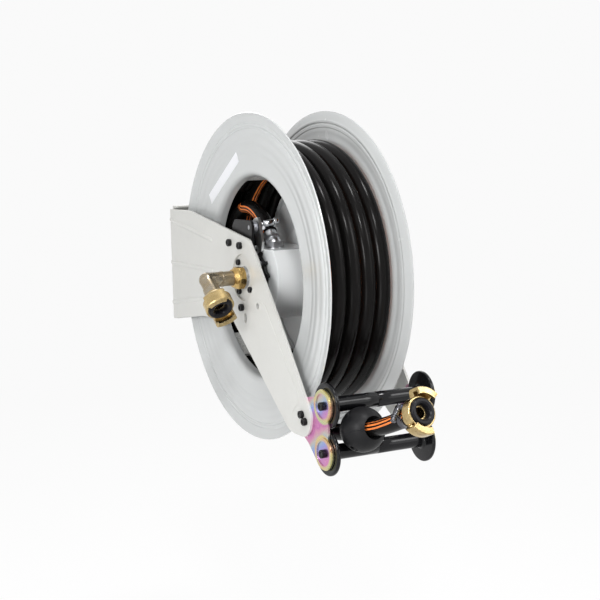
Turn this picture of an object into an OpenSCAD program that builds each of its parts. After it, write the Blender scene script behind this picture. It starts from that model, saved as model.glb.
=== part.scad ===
// Wall-mounted spring-return hose reel with a double roller guide.
// The origin is at the centre of the wall bolts on the back of the base: +Y points into
// the wall, +Z up, and X runs along the drum's axis, with the water inlet at -X.

/* [Wall base and side frames] */
// Distance from the wall to the drum's axis
axis_out = 240; // [236:1:260]
// Width over the two side frames
frame_w = 153; // [150:1:160]
// Thickness of the side frames and the back plate
frame_t = 3; // [2:0.5:4]
// Height of the base at the wall
base_h = 162; // [156:1:180]
// Horizontal distance between the wall bolts
wall_bolt_dx = 100; // [80:1:110]
// Vertical distance between the wall bolts
wall_bolt_dz = 120; // [100:1:130]
// Diameter of the wall bolt holes
wall_hole_d = 9; // [6:0.5:11]
// Diameter of the hole in each side frame around the spindle
hub_hole_d = 62; // [60:1:66]

/* [Drum] */
// Outside diameter of the flanges
flange_d = 430; // [426:1:436]
// Thickness of the flange sheet
sheet = 1.8; // [1.5:0.1:2]
// Diameter of the opening in each flange
opening_d = 265; // [262:1:267]
// Length of the collar that each flange turns inward
collar_len = 16.5; // [14:0.5:20]
// How far the drum's middle lies from the frame's middle, towards the inlet
drum_shift = 6.5; // [5:0.5:7]
// Width of a spacer bar between the flanges
spacer_w = 40; // [20:1:50]
// Radius of the hub housing
hub_r = 58; // [54:1:62]
// Height of the flat top of the hub housing over the axis
hub_flat = 37; // [36:0.5:40]
// Thickness of the hub housing's sheet
hub_t = 2; // [1.5:0.5:3]

/* [Hose] */
// Outside diameter of the hose
hose_d = 20.6; // [20:0.1:20.6]
// Bore of the hose
hose_bore = 13; // [10:0.5:14]
// Gap between neighbouring turns
turn_gap = 0.5; // [0.45:0.05:0.6]
// Turns side by side in the inner layer
lanes = 5; // [5:1:5]
// Distance from the opening in the flanges to the wound hose
core_gap = 7.1; // [6.5:0.1:8]
// Bend radius of the hose's inner end on its way to the hub
tail_bend_r = 77; // [75:1:79]

/* [Spindle and swivel] */
// Diameter of the spindle
spindle_d = 25; // [24:0.5:26]
// Diameter of the spindle's inlet collar
inlet_collar_d = 29; // [28:0.5:30]
// Water bore of the spindle
water_bore = 12; // [8:0.5:13]
// Wall of the two bearing bushes
bush_wall = 4.5; // [3:0.5:5]
// Length of each bearing bush
bush_len = 12; // [8:1:16]
// Radial clearance of the running fits
run_fit = 0.05; // [0.02:0.01:0.09]
// Hex size across flats of the union nut
union_af = 28; // [27:0.5:30]
// Length of the union nut
union_len = 11; // [9:0.5:14]

/* [Power spring] */
// Radius of the spring case
case_r = 100; // [90:1:110]
// Depth of the spring case
case_depth = 18; // [14:0.5:19]
// Thickness of the spring steel
strip_t = 1.2; // [0.8:0.1:1.6]
// Turns of the power spring
spring_turns = 9; // [6:1:12]

/* [Ratchet] */
// Number of ratchet teeth
teeth = 12; // [12:1:12]
// Radius over the ratchet teeth
ratchet_r = 36; // [35:0.5:36]
// Depth of a ratchet tooth
tooth_h = 5.5; // [5:0.5:6]
// Thickness of the ratchet wheel and the pawl
ratchet_t = 4.5; // [3:0.5:5]
// Length of the pawl from its pin to its tip
pawl_len = 33; // [32.5:0.25:33]

/* [Roller guide] */
// How far the rollers lie in front of the drum's axis
guide_out = 205.5; // [203:0.5:209]
// Distance between the two roller axes
roller_gap = 58; // [57.5:0.5:60]
// Diameter of a roller's barrel
barrel_d = 19; // [18:0.5:20]
// Diameter of a roller's end discs
disc_d = 56; // [50:0.5:56.5]
// Thickness of an end disc
disc_t = 5; // [4:0.5:6]
// Diameter of the roller pins
roller_pin_d = 8; // [6:0.5:10]
// Thickness of the guide plates
guide_t = 3; // [2:0.5:3.5]
// Diameter of the stopper ball
ball_d = 55; // [52:0.5:58]

/* [Couplings] */
// Diameter over the coupling claws
claw_d = 56; // [54:0.5:58]
// Diameter of the coupling body
claw_body_d = 38; // [37:0.5:41]
// Length of the inlet elbow from the union nut to its corner
elbow_reach = 40; // [36:1:60]
// Diameter of the inlet elbow's legs
elbow_d = 19.5; // [17:0.5:21]
// Length of the elbow's lower leg up to the coupling
elbow_drop = 28; // [26:1:48]
// How far forward of straight down the inlet coupling points
elbow_tilt = 51; // [0:1:90]

/* [Hidden] */

grey = [0.80, 0.81, 0.81];
black = [0.06, 0.06, 0.065];
brass = [0.75, 0.60, 0.28];
nickel = [0.66, 0.62, 0.54];
chrome = [0.80, 0.81, 0.83];
zinc = [0.72, 0.66, 0.70];
bronze = [0.62, 0.45, 0.22];
steel = [0.45, 0.46, 0.48];
eps = 0.01;
seat = 0.05;         // clearance of parts that sit fast in one another
soft_gap = 0.3;      // clearance of rubber next to metal
end_play = 0.5;      // gap between a roller's end and its guide plate

// --- Places along the drum's axis, measured from the drum's middle ---
drum_x = -drum_shift;
hose_r = hose_d / 2;
pitch = hose_d + turn_gap;
half_gap = (lanes - 1) / 2 * pitch + hose_r + turn_gap / 2;
flange_face = half_gap + sheet;
roll_r = 9.5;                              // outside radius of the rolled lip
collar_r = opening_d / 2;
core_r = collar_r + core_gap;
web_in = collar_r + roll_r;                // where the flat web of a flange starts
layer1_r = core_r + hose_r;
layer2_r = layer1_r + pitch * cos(30);
winding_turns = lanes - 1;
climb = 60;                                // degrees that the hose takes to climb a layer
lane1 = (lanes - 1) / 2 * pitch;           // outermost lane of a layer
lead_out = 88;                             // where the wound hose becomes the free lead
hub_near = -47;
hub_far = 24;
dish_t = 2;                                // thickness of the dish that closes the hub
frame_in = frame_w / 2 - frame_t;          // inner face of a side frame, from the middle
carrier_t = 4;
carrier_r = 46;
carrier_in = frame_in - carrier_t;
carrier_bolt_r = 40;
flange_bolt_r = 24;                        // bolts that hold the spindle's flange
spindle_flange_r = 30;
spindle_flange_t = 4.5;
spindle_r = spindle_d / 2;
tube_in = spindle_r + bush_wall;
tube_out = tube_in + 3.5;
tube_far = flange_face + 1;
ratchet_x = hub_near - ratchet_t;          // outer face of the ratchet wheel
nut_x = -frame_w / 2 - 0.5;                // where the union nut starts
spindle_end_r = 10;
guide_lift = 1.5;                           // rollers' middle above the foot of the wound hose
guide_z = guide_lift - layer2_r;
guide_in = frame_in - guide_t;
disc_out = guide_in - end_play;
barrel_len = 2 * (disc_out - disc_t);
pin_r = roller_pin_d / 2;
ball_touch = sqrt(pow(ball_d / 2 + barrel_d / 2 + soft_gap, 2) - pow(roller_gap / 2, 2));
pawl_at = [-8, 66];                        // the pawl's pin, Y and Z from the axis
pawl_rest = 18;                            // degrees that the pawl hangs off straight down
lift_at = [3, 42];                         // shared bolt of the carrier and the pawl bracket
ear_at = [35, 44];                         // outer bolt of the pawl bracket
pawl_x = drum_x + ratchet_x;

// --- Small helpers ---
function unit(v) = v / norm(v);
function turn2(v, a) = [v.x * cos(a) - v.y * sin(a), v.x * sin(a) + v.y * cos(a)];

// A corner p1 rounded with radius r between its neighbours p0 and p2
function corner(p0, p1, p2, r, n = 6) =
    let (a = unit(p0 - p1), b = unit(p2 - p1), half = acos(a * b) / 2,
         c = p1 + unit(a + b) * r / sin(half),
         s = p1 + a * r / tan(half) - c, e = p1 + b * r / tan(half) - c,
         sweep = sign(s.x * e.y - s.y * e.x) * acos(min(1, unit(s) * unit(e))))
    [for (i = [0:n]) c + turn2(s, sweep * i / n)];

// An outline given as [y, z, corner radius]
function rounded(pts) = let (n = len(pts))
    [for (i = [0:n - 1])
        let (q = pts[i], p = [q.x, q.y], before = pts[(i + n - 1) % n], after = pts[(i + 1) % n])
        each q.z == 0 ? [p] : corner([before.x, before.y], p, [after.x, after.y], q.z)];

// A thin wall of thickness t beside the open path pts, on its left-hand side
function wall(pts, t) = let (n = len(pts),
    nrm = [for (i = [0:n - 2]) let (d = unit(pts[i + 1] - pts[i])) [-d.y, d.x]],
    off = [for (i = [0:n - 1])
        let (a = nrm[max(0, i - 1)], b = nrm[min(n - 2, i)], m = unit(a + b))
        pts[i] + m * t / (m * a)])
    concat(pts, [for (i = [n - 1:-1:0]) off[i]]);

// Rings of a tube along the points p, each ring square to the run there
function tangent(p, i) = unit(p[min(len(p) - 1, i + 1)] - p[max(0, i - 1)]);
function ring(c, t, r, sides) = let (u = unit([1, 0, 0] - t.x * t), v = cross(t, u))
    [for (k = [0:sides - 1]) let (a = 360 * k / sides) c + r * (cos(a) * u + sin(a) * v)];

module tube_along(p, r, sides) {
    n = len(p);
    pts = [for (i = [0:n - 1]) each ring(p[i], tangent(p, i), r, sides)];
    body = [for (i = [0:n - 2], k = [0:sides - 1])
        let (a = i * sides + k, b = i * sides + (k + 1) % sides)
        each [[a, b, b + sides], [a, b + sides, a + sides]]];
    caps = [for (k = [1:sides - 2]) each [[0, k + 1, k],
        [(n - 1) * sides, (n - 1) * sides + k, (n - 1) * sides + k + 1]]];
    polyhedron(points = pts, faces = [for (f = concat(body, caps)) [f[0], f[2], f[1]]]);
}

module at_axis() { translate([0, -axis_out, 0]) children(); }
module at_drum() { translate([drum_x, -axis_out, 0]) children(); }
// Turns a shape made along Z so that it lies along +X
module along_x(x = 0) { translate([x, 0, 0]) rotate([0, 90, 0]) children(); }
// Draws [radius, x] outlines as turned pieces about the drum's axis
module turned(pts, fn = 120) { rotate([0, 90, 0]) rotate_extrude($fn = fn) polygon(pts); }
// Extrudes a [y, z] shape along +X from x to x + t
module plate_x(x, t) { translate([x, 0, 0]) rotate([90, 0, 90]) linear_extrude(t) children(); }
module rod_x(x0, x1, r, fn = 48) { along_x(x0) cylinder(h = x1 - x0, r = r, $fn = fn); }
module both_sides() { children(); mirror([1, 0, 0]) children(); }
// A socket-head bolt along +X: its head ends at x = 0 and its shank runs on for len
module bolt(d, len) {
    rod_x(-d * 0.8, 0, d * 0.8);
    rod_x(-eps, len, d / 2 - seat);
}
module at_yz(p, x = 0) { translate([x, p.x, p.y]) children(); }
function polar(r, a) = [r * cos(a), r * sin(a)];

// --- Wall base and side frames ---
plate_top = base_h / 2 + 5;
back_y = axis_out - frame_t;               // inner face of the frame's back flange
back_flange_w = 36;
tip_bolts = [[-159, -155.5], [-167, -163]];
rib_r = 4;
rib_sink = 2.6;

frame_outline = rounded([
    [axis_out, base_h / 2, 0], [165, base_h / 2, 40], [-23, 51, 14], [-95, -37, 200],
    [-182, -153, 16], [-174, -183.5, 22], [-125, -183.5, 40], [34, -60, 12], [135, -66, 60],
    [axis_out, -base_h / 2, 0]]);
ribs = [[66, 44], [3, 2], [-57, -36]];     // heights of each rib at the wall and at its end
rib_end = 96;
arm_panel = rounded([                      // raised field along the arm
    [-17, -53, 4], [-112, -154, 6], [-128, -160, 8], [-147, -145, 8], [-149, -131, 6],
    [-103, -80, 60], [-62, -30, 10], [-40, -24, 8]]);
panel_h = 0.4;

module rib(z0, z1) {
    from = [axis_out + rib_r, z0];
    to = [rib_end, z1];
    a = atan2(to.y - from.y, to.x - from.x);
    translate([frame_w / 2 - rib_sink, from.x, from.y]) rotate([a, 0, 0]) {
        rotate([-90, 0, 0]) cylinder(h = norm(to - from), r = rib_r, $fn = 24);
        sphere(r = rib_r, $fn = 24);
        translate([0, norm(to - from), 0]) sphere(r = rib_r, $fn = 24);
    }
}

module side_frame_right() {
    difference() {
        union() {
            plate_x(frame_in, frame_t) polygon(frame_outline);
            plate_x(frame_in + eps, frame_t + panel_h - eps) polygon(arm_panel);
            translate([frame_w / 2 - back_flange_w, back_y, -base_h / 2])
                cube([back_flange_w - frame_t + eps, frame_t, base_h]);
            difference() {
                for (r = ribs) rib(r.x, r.y);
                translate([frame_in - 2 * rib_r, 0, -base_h])
                    cube([2 * rib_r, 2 * axis_out, 2 * base_h]);
                translate([frame_in - 1, axis_out, -base_h]) cube([4 * rib_r, 4 * rib_r, 2 * base_h]);
            }
        }
        rod_x(frame_in - 1, frame_w / 2 + 1, hub_hole_d / 2, 96);
        for (p = [lift_at, [2, -carrier_bolt_r], ear_at])
            at_yz(p, frame_in - 1) rod_x(0, frame_t + 2, 3);
        for (p = tip_bolts) at_yz(p, frame_in - 1) rod_x(0, frame_t + 2, 3);
        at_yz([-43.5, -33.7], frame_in - 1) rod_x(0, frame_t + 2, 4);
        plate_x(frame_in - 1, frame_t + 2) polygon(rounded([
            [-9, -47, 3], [-2, -47, 3], [-2, -60, 3], [-9, -60, 3]]));
        wall_bolt_holes(back_y - 1, frame_t + 2);
    }
}
module wall_bolt_holes(y, t) {
    for (x = [-1, 1], z = [-1, 1])
        translate([x * wall_bolt_dx / 2, y, z * wall_bolt_dz / 2]) rotate([-90, 0, 0])
            cylinder(h = t, r = wall_hole_d / 2, $fn = 48);
}
module near_side_frame() { color(grey) at_axis() mirror([1, 0, 0]) side_frame_right(); }
module far_side_frame() { color(grey) at_axis() side_frame_right(); }

module back_plate() {
    w = frame_w - 2 * frame_t - 0.2;
    color(grey) at_axis() difference() {
        union() {
            translate([-w / 2, back_y - frame_t, -base_h / 2])
                cube([w, frame_t, base_h / 2 + plate_top]);
            translate([-w / 2, back_y - 12, plate_top - frame_t]) cube([w, 12, frame_t]);
        }
        wall_bolt_holes(back_y - frame_t - 1, frame_t + 2);
    }
}

// --- Spindle and its carriers ---
module carrier_plate(bore_r, flange_bolts) {
    difference() {
        rod_x(carrier_in, frame_in, carrier_r, 96);
        rod_x(carrier_in - 1, frame_in + 1, bore_r);
        for (p = [lift_at, [2, -carrier_bolt_r]])
            at_yz(p) rod_x(carrier_in - 1, frame_in + 1, 3);
        if (flange_bolts) for (a = flange_bolt_angles)
            at_yz(polar(flange_bolt_r, a)) rod_x(carrier_in - 1, frame_in + 1, 2.5);
    }
}
flange_bolt_angles = [52, -55, -142];      // from +Y towards +Z
module near_carrier() {
    color(grey) at_axis() mirror([1, 0, 0]) carrier_plate(inlet_collar_d / 2 + seat, true);
}
module far_carrier() { color(grey) at_axis() carrier_plate(spindle_end_r + seat, false); }

module carrier_bolts() {
    color(black) at_axis() both_sides() for (p = [lift_at, [2, -carrier_bolt_r]])
        at_yz(p, frame_w / 2) mirror([1, 0, 0]) bolt(6, frame_t + carrier_t - 0.5);
}
module spindle_bolts() {
    color(black) at_axis() for (a = flange_bolt_angles)
        at_yz(polar(flange_bolt_r, a), -frame_in) bolt(5, carrier_t + spindle_flange_t - 1);
}
module spindle() {
    x_flange = -carrier_in;
    port_x = drum_x + riser_x;
    color(steel) at_axis() difference() {
        union() {
            rod_x(nut_x, -carrier_in + eps, inlet_collar_d / 2);
            rod_x(x_flange, x_flange + spindle_flange_t, spindle_flange_r, 96);
            rod_x(x_flange + spindle_flange_t - eps, carrier_in, spindle_r);
            rod_x(carrier_in - eps, frame_in + 13, spindle_end_r);
            rod_x(nut_x - union_len / 2, nut_x + eps, spindle_end_r);
        }
        rod_x(nut_x - union_len, port_x + 6, water_bore / 2);
        translate([port_x, 0, 0]) cylinder(h = spindle_d, r = 4, $fn = 32);
        for (a = flange_bolt_angles) at_yz(polar(flange_bolt_r, a), x_flange - 1)
            rod_x(0, spindle_flange_t + 2, 2.5);
    }
}
module hex_x(x, len, af) {
    along_x(x) rotate([0, 0, 30]) cylinder(h = len, r = af / sqrt(3), $fn = 6);
}
module spindle_nut() {
    color(steel) at_axis() difference() {
        hex_x(frame_in + seat, 11, 30);
        rod_x(frame_in - 1, frame_in + 13, spindle_end_r + seat);
    }
}
module union_nut() {
    x1 = nut_x - union_len;
    color(brass) at_axis() difference() {
        union() {
            intersection() {
                hex_x(x1, union_len, union_af);
                turned([[0, x1], [union_af / 2 - 0.5, x1], [union_af / sqrt(3), x1 + 2.5],
                    [union_af / sqrt(3), nut_x - 1.5], [union_af / 2, nut_x], [0, nut_x]]);
            }
            turned([[0, x1 + 1], [union_af / 2 - 0.5, x1 + eps], [elbow_d / 2 + 1.5, x1 - 4],
                [0, x1 - 4]]);
        }
        rod_x(nut_x - union_len / 2, nut_x + 1, spindle_end_r + seat);
        rod_x(x1 - 5, nut_x - union_len / 2 + eps, elbow_r + run_fit);
    }
}

// --- Ratchet and pawl ---
pawl_w = 18;
tip_w = 5;
pin_d = 6;
module pawl_bracket() {
    x0 = -carrier_in;
    plate_t = 3.5;
    color(black) at_axis() difference() {
        union() {
            plate_x(x0, plate_t) polygon(rounded([
                [-17, 40, 4], [-6, 35, 4], [42, 37, 6], [42, 66, 6], [34, 75, 6], [-17, 75, 6]]));
            at_yz(ear_at) rod_x(-frame_in, x0 + eps, 7);
            at_yz(pawl_at) rod_x(x0 + plate_t - eps, pawl_x - 0.3, 7);
        }
        at_yz(lift_at, x0 - 1) rod_x(0, plate_t + 2, 3);
        at_yz(ear_at, -frame_in - 1) rod_x(0, carrier_t + plate_t + 2, 3);
        at_yz(pawl_at, x0 - 1) rod_x(0, pawl_x - x0 + 2, pin_d / 2 + seat);
    }
}
module pawl_bolt() {
    color(black) at_axis() at_yz(ear_at, -frame_w / 2) bolt(6, frame_t + carrier_t + 3);
}
module pawl_pin() {
    color(steel) at_axis() at_yz(pawl_at) {
        rod_x(-carrier_in + 0.3, pawl_x + ratchet_t - 0.8, pin_d / 2);
        rod_x(pawl_x + ratchet_t - 0.8 - eps, pawl_x + ratchet_t - 0.2, pin_d / 2 - 1);
    }
}
module pawl() {
    color([0.78, 0.79, 0.79]) at_axis() difference() {
        at_yz(pawl_at) rotate([-pawl_rest, 0, 0]) plate_x(pawl_x, ratchet_t - 0.8)
            difference() {
                polygon(rounded([[-pawl_w / 2, 12, 6], [pawl_w / 2, 12, 6],
                    [pawl_w / 2, -20, 4], [tip_w / 2, -pawl_len, 0],
                    [-tip_w / 2, -pawl_len, 0], [-pawl_w / 2, -22, 4]]));
                circle(r = pin_d / 2 + run_fit, $fn = 48);
            }
    }
}
// A small torsion spring around the pawl's boss
module pawl_spring() {
    wire_r = 0.7;
    curls = 4;
    per_curl = 8;
    coil_r = 8.2;
    run = pawl_x - (-carrier_in + 3.5) - 2 * wire_r - 1.1;
    color(steel) at_axis() at_yz(pawl_at, -carrier_in + 3.5 + wire_r + 0.3)
        tube_along([for (i = [0:curls * per_curl]) let (a = 360 * i / per_curl)
            [run * i / (curls * per_curl), coil_r * cos(a), coil_r * sin(a)]], wire_r, 6);
}

module ratchet_outline() {
    root = ratchet_r - tooth_h;
    step = 360 / teeth;
    engaged = 97;                          // where the pawl's tip drops in
    polygon([for (i = [0:teeth - 1]) each let (a = engaged + step * i)
        [polar(root, a - 8.5), polar(root, a + 8.5), polar(ratchet_r, a + 15),
         polar(ratchet_r, a + step - 9)]]);
}
ratchet_screw_r = 25.5;
module ratchet_wheel() {
    color(black) at_drum() difference() {
        plate_x(ratchet_x, ratchet_t) ratchet_outline();
        rod_x(ratchet_x - 1, hub_near + 1, spindle_r + 2);
        for (a = [45:90:315]) at_yz(polar(ratchet_screw_r, a))
            rod_x(ratchet_x - 1, hub_near + 1, 2.5);
    }
}
module ratchet_screws() {
    color(steel) at_drum() for (a = [45:90:315])
        at_yz(polar(ratchet_screw_r, a), ratchet_x) {
            rod_x(-1.8, 0, 4);
            rod_x(-eps, ratchet_t + hub_t - 0.2, 2.5 - seat);
        }
}

// --- Drum ---
// Profile of a flange's outer face as [radius, distance outward from the flat web]
roll = [for (i = [0:8]) let (a = 90 * i / 8)
    [collar_r + roll_r - roll_r * cos(a), roll_r * sin(a) - roll_r]];
rim_r = flange_d / 2;
rim_step = (rim_r - web_in) / 73;          // the beads of the rim share what the web leaves
rim = [for (p = [[46, 0], [43, 1.2], [21, 1.2], [19.5, 0.2], [18, 0.2], [16.5, 1.1],
    [14.5, 1.1], [13, 0], [12, 0], [9, 1.4], [3, 2.6], [0, 4.2]])
    [rim_r - p.x * rim_step, p.y]];
flange_path = concat([[collar_r, -collar_len]], roll, rim);
module flange_shell() {
    turned([for (p = wall(flange_path, -sheet)) [p.x, flange_face + p.y]], 180);
}
spacer_angles = [77, 188, 310];            // from +Y towards +Z
spacer_len = 2 * (flange_face - roll_r) - 2.4;
spacer_in = collar_r + sheet;
module near_flange() { color(grey) at_drum() mirror([1, 0, 0]) flange_shell(); }
module far_flange() { color(grey) at_drum() flange_shell(); }
module flange_spacers() {
    color(grey) at_drum() for (a = spacer_angles) intersection() {
        rotate([a - 90, 0, 0]) translate([-spacer_len / 2, -spacer_w / 2, 0])
            cube([spacer_len, spacer_w, core_r + 10]);
        difference() {
            rod_x(-spacer_len / 2, spacer_len / 2, core_r - soft_gap, 180);
            rod_x(-spacer_len, spacer_len, spacer_in + seat, 180);
        }
    }
}
module hub_outline(r, flat) {
    intersection() {
        circle(r = r, $fn = 120);
        translate([-r, -r]) square([2 * r, r + flat]);
    }
}
tail_join = 8;                             // where the hose's tail leaves the inner layer
tail_r = layer2_r - 2 * hose_r - soft_gap; // radius at which it leaves
tail_c = (tail_r - tail_bend_r) * [cos(tail_join), sin(tail_join)];
tail_dir = [cos(45), sin(45)];
tail_end = tail_c + tail_bend_r * [-tail_dir.y, tail_dir.x];
riser_x = -25;
riser_r = 9;
riser_up = 2;                              // how far the riser stands out of the flat top
bend_z = hub_flat + 6;                     // height of the bend in the tail fitting
tail_y = tail_end.x - (tail_end.y - bend_z);
bend_s = sqrt(2) * (tail_end.y - bend_z);  // from the tail's arc to that bend
module hub_housing() {
    color(grey) at_drum() difference() {
        plate_x(hub_near, hub_far - dish_t - hub_near) hub_outline(hub_r, hub_flat);
        plate_x(hub_near + hub_t, hub_far - hub_near)
            hub_outline(hub_r - hub_t, hub_flat - hub_t);
        rod_x(hub_near - 1, hub_near + hub_t + 1, tube_out + seat);
        for (a = [45:90:315]) at_yz(polar(ratchet_screw_r, a))
            rod_x(hub_near - 1, hub_near + hub_t + 1, 2.5);
        translate([riser_x, tail_y, hub_flat - hub_t - 1])
            cylinder(h = hub_t + 2, r = riser_r + seat, $fn = 48);
    }
}
module hub_dish() {
    path = [[tube_out + seat, hub_far], [hub_r + 3, hub_far], [hub_r + 10, hub_far + 2],
        [collar_r - 12, flange_face - 15], [collar_r - 3, flange_face - 11],
        [collar_r - seat - dish_t, flange_face - 9], [collar_r - seat - dish_t, flange_face - 2]];
    color(grey) at_drum() turned(wall(path, -dish_t), 180);
}
module hub_tube() {
    color(steel) at_drum() difference() {
        rod_x(hub_near, tube_far, tube_out, 96);
        rod_x(hub_near - 1, tube_far + 1, tube_in, 96);
        translate([riser_x, tail_y, 0]) cylinder(h = tube_out + 1, r = 4, $fn = 32);
    }
}
module bearing_bushes() {
    color(bronze) at_drum() for (x = [hub_near, tube_far - bush_len]) difference() {
        rod_x(x, x + bush_len, tube_in - seat, 96);
        rod_x(x - 1, x + bush_len + 1, spindle_r + run_fit, 96);
    }
}
seal_w = 5;
seal_off = 4.6;                            // from the water port to a seal
module swivel_seals() {
    color(black) at_drum() for (x = [riser_x - seal_off - seal_w, riser_x + seal_off]) difference() {
        rod_x(x, x + seal_w, tube_in - seat, 96);
        rod_x(x - 1, x + seal_w + 1, spindle_r + run_fit, 96);
    }
}
module outlet_riser() {
    color(steel) at_drum() difference() {
        translate([riser_x, tail_y, 0]) cylinder(h = hub_flat + riser_up, r = riser_r, $fn = 48);
        rod_x(riser_x - 20, riser_x + 20, tube_out + seat, 96);
        translate([riser_x, tail_y, 0]) cylinder(h = hub_flat + 1, r = 4, $fn = 32);
    }
}

// --- Power spring and its case ---
case_t = 1.5;
case_rim_r = web_in + 8;
case_screw_r = case_rim_r - 4;
case_in = flange_face;
module spring_case() {
    path = [[case_rim_r, case_in], [case_r + 6, case_in], [case_r + 2, case_in + 1.5],
        [case_r, case_in + 5], [case_r, case_in + case_depth - 4],
        [case_r - 4, case_in + case_depth], [spindle_r + 1.5, case_in + case_depth]];
    color(grey) at_drum() difference() {
        turned(wall(path, -case_t), 180);
        for (a = [0:45:315]) at_yz(polar(case_screw_r, a + 20), case_in - 1)
            rod_x(0, 4, 2.5);
    }
}
module case_screws() {
    color(steel) at_drum() for (a = [0:45:315])
        at_yz(polar(case_screw_r, a + 20), case_in + case_t) {
            rod_x(0, 3, 4);
            rod_x(-case_t + eps, eps, 2.5 - seat);
        }
}
spring_in = 24;
module power_spring() {
    w = case_depth - 7;
    steps = 18;
    out = case_r - strip_t - soft_gap;
    grow = (out - spring_in) / (spring_turns * steps);
    inner = [for (i = [0:spring_turns * steps]) polar(spring_in + grow * i, 360 * i / steps)];
    outer = [for (i = [spring_turns * steps:-1:0])
        polar(spring_in + strip_t + grow * i, 360 * i / steps)];
    color(steel) at_drum() plate_x(case_in + 3, w) polygon(concat(inner, outer));
}

// --- Wound hose ---
// The inner layer lies as a plain ring.  It is open where the hose comes up from the hub
// and where it climbs to the outer layer in the far lane.
core_out = layer2_r - hose_r - soft_gap;
layer_end = half_gap - soft_gap;
tail_slot = 50;                            // how far the slot over the tail runs
slot_w = hose_d + 1;
slot_ease = 0.5;                           // degrees of clearance at the tail's start
module ring_slot(x, from, to) {
    rotate([from, 0, 0]) rotate([90, 0, 90]) translate([0, 0, x - slot_w / 2])
        rotate_extrude(angle = to - from, $fn = 120)
            translate([core_r - 5, 0]) square([core_out - core_r + 10, slot_w]);
}
module hose_inner_layer() {
    color(black) at_drum() difference() {
        turned([[core_r, layer_end - 3], [core_r + 3, layer_end], [core_out, layer_end],
            [core_out, -layer_end], [core_r + 3, -layer_end], [core_r, 3 - layer_end]], 180);
        ring_slot(tail_x0, tail_join - slot_ease, tail_join + tail_slot);
        ring_slot(lane1, -90, climb - 90);
    }
}
// The outer layer climbs out of the far slot below the drum, winds towards the inlet side
// and ends in a straight lead.  Angles run from +Y towards -Z.  The hose holds its lane along
// the front and the top and changes lanes at the back of each turn.
rings_per_turn = 24;
wind_total = winding_turns * 360 + climb;
function smooth(t) = t * t * (3 - 2 * t);
hold = 240;                                // degrees of each turn before it changes lanes
function lanes_over(a) = floor(a / 360) + max(0, a % 360 - hold) / (360 - hold);
function wind_point(a) =
    let (r = layer1_r + (layer2_r - layer1_r) * smooth(min(1, a / climb)), w = 90 - climb + a)
    [lane1 - pitch * lanes_over(a), r * cos(w), -r * sin(w)];
wind_start = wind_point(0);
x_end = lane1 - pitch * winding_turns;
winding = concat(
    [wind_start, wind_start - hose_d * [0, cos(climb), sin(climb)]],
    [for (i = [1:wind_total * rings_per_turn / 360]) wind_point(360 * i / rings_per_turn)],
    [for (y = [hose_d, (hose_d + lead_out) / 2, lead_out]) [x_end, -y, -layer2_r]]);
apart = rings_per_turn * 3 / 4;            // rings between points that are told apart
winding_gap = min([for (i = [0:len(winding) - apart - 1], j = [i + apart:len(winding) - 1])
    norm(winding[i] - winding[j])]) - hose_d;
module hose_outer_layer() {
    echo(winding_gap = winding_gap);
    color(black) at_drum() tube_along(winding, hose_r, 6);
}
// The tail's run from the inner layer to the fitting on the hub
tail_x0 = pitch - lane1;                   // the lane that the tail comes from
tail_straight = 12;
function tail_x(t) = tail_x0 + (riser_x - tail_x0) * smooth(max(0, 2 * t - 1));
tail_path = concat(
    [for (i = [0:12]) let (t = i / 12, a = tail_join + (135 - tail_join) * t,
        p = tail_c + polar(tail_bend_r, a)) [tail_x(t), p.x, p.y]],
    [for (s = [6, tail_straight]) let (p = tail_end - s * tail_dir) [riser_x, p.x, p.y]]);
module hose_tail() { color(black) at_drum() tube_along(tail_path, hose_r - 0.1, 12); }
// Places its children on the tail's straight run, s beyond the arc, with +Z towards the arc
module on_tail(s) {
    p = tail_end - s * tail_dir;
    translate([riser_x, p.x, p.y]) rotate([-45, 0, 0]) children();
}
module tail_clamp() {
    color(chrome) at_drum() on_tail(10) hose_clamp();
}
// A worm-drive clamp around the hose, made along +Z with its screw on the +X side
module hose_clamp() {
    difference() {
        cylinder(h = 9, r = hose_r + 1, $fn = 64);
        translate([0, 0, -1]) cylinder(h = 11, r = hose_r + seat, $fn = 64);
    }
    translate([hose_r + 0.5, -7, 1.5]) cube([6, 14, 6]);
}
fitting_hex = 7;                           // height of the fitting's hexagon
fitting_r = 9;
module tail_fitting() {
    foot = hub_flat + riser_up + seat;
    color(chrome) at_drum() difference() {
        union() {
            translate([riser_x, tail_y, foot]) cylinder(h = fitting_hex, r = 12.5, $fn = 6);
            translate([riser_x, tail_y, foot]) cylinder(h = bend_z - foot, r = fitting_r, $fn = 48);
            translate([riser_x, tail_y, bend_z]) sphere(r = fitting_r + 0.6, $fn = 48);
            on_tail(bend_s) cylinder(h = bend_s - tail_straight - 0.2, r = fitting_r, $fn = 48);
            on_tail(bend_s - 5) cylinder(h = 4, r = fitting_r + 2, $fn = 6);
        }
        translate([riser_x - hose_d, tail_y - hose_d, foot - hose_d])
            cube([2 * hose_d, 2 * hose_d, hose_d]);
        translate([riser_x, tail_y, foot - 1]) cylinder(h = bend_z - foot, r = 4.5, $fn = 32);
        on_tail(bend_s + 3) cylinder(h = bend_s, r = 4.5, $fn = 32);
    }
}
label_len = 109;
label_w = 15;
label_t = 0.3;
label_r = web_in + 10.5 * rim_step;        // radius at which the label sits on the flange
module label() {
    color("white") at_drum() rotate([-33, 0, 0])
        translate([-flange_face - label_t, -label_len / 2, label_r - label_w / 2])
            cube([label_t, label_len, label_w]);
}

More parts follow.
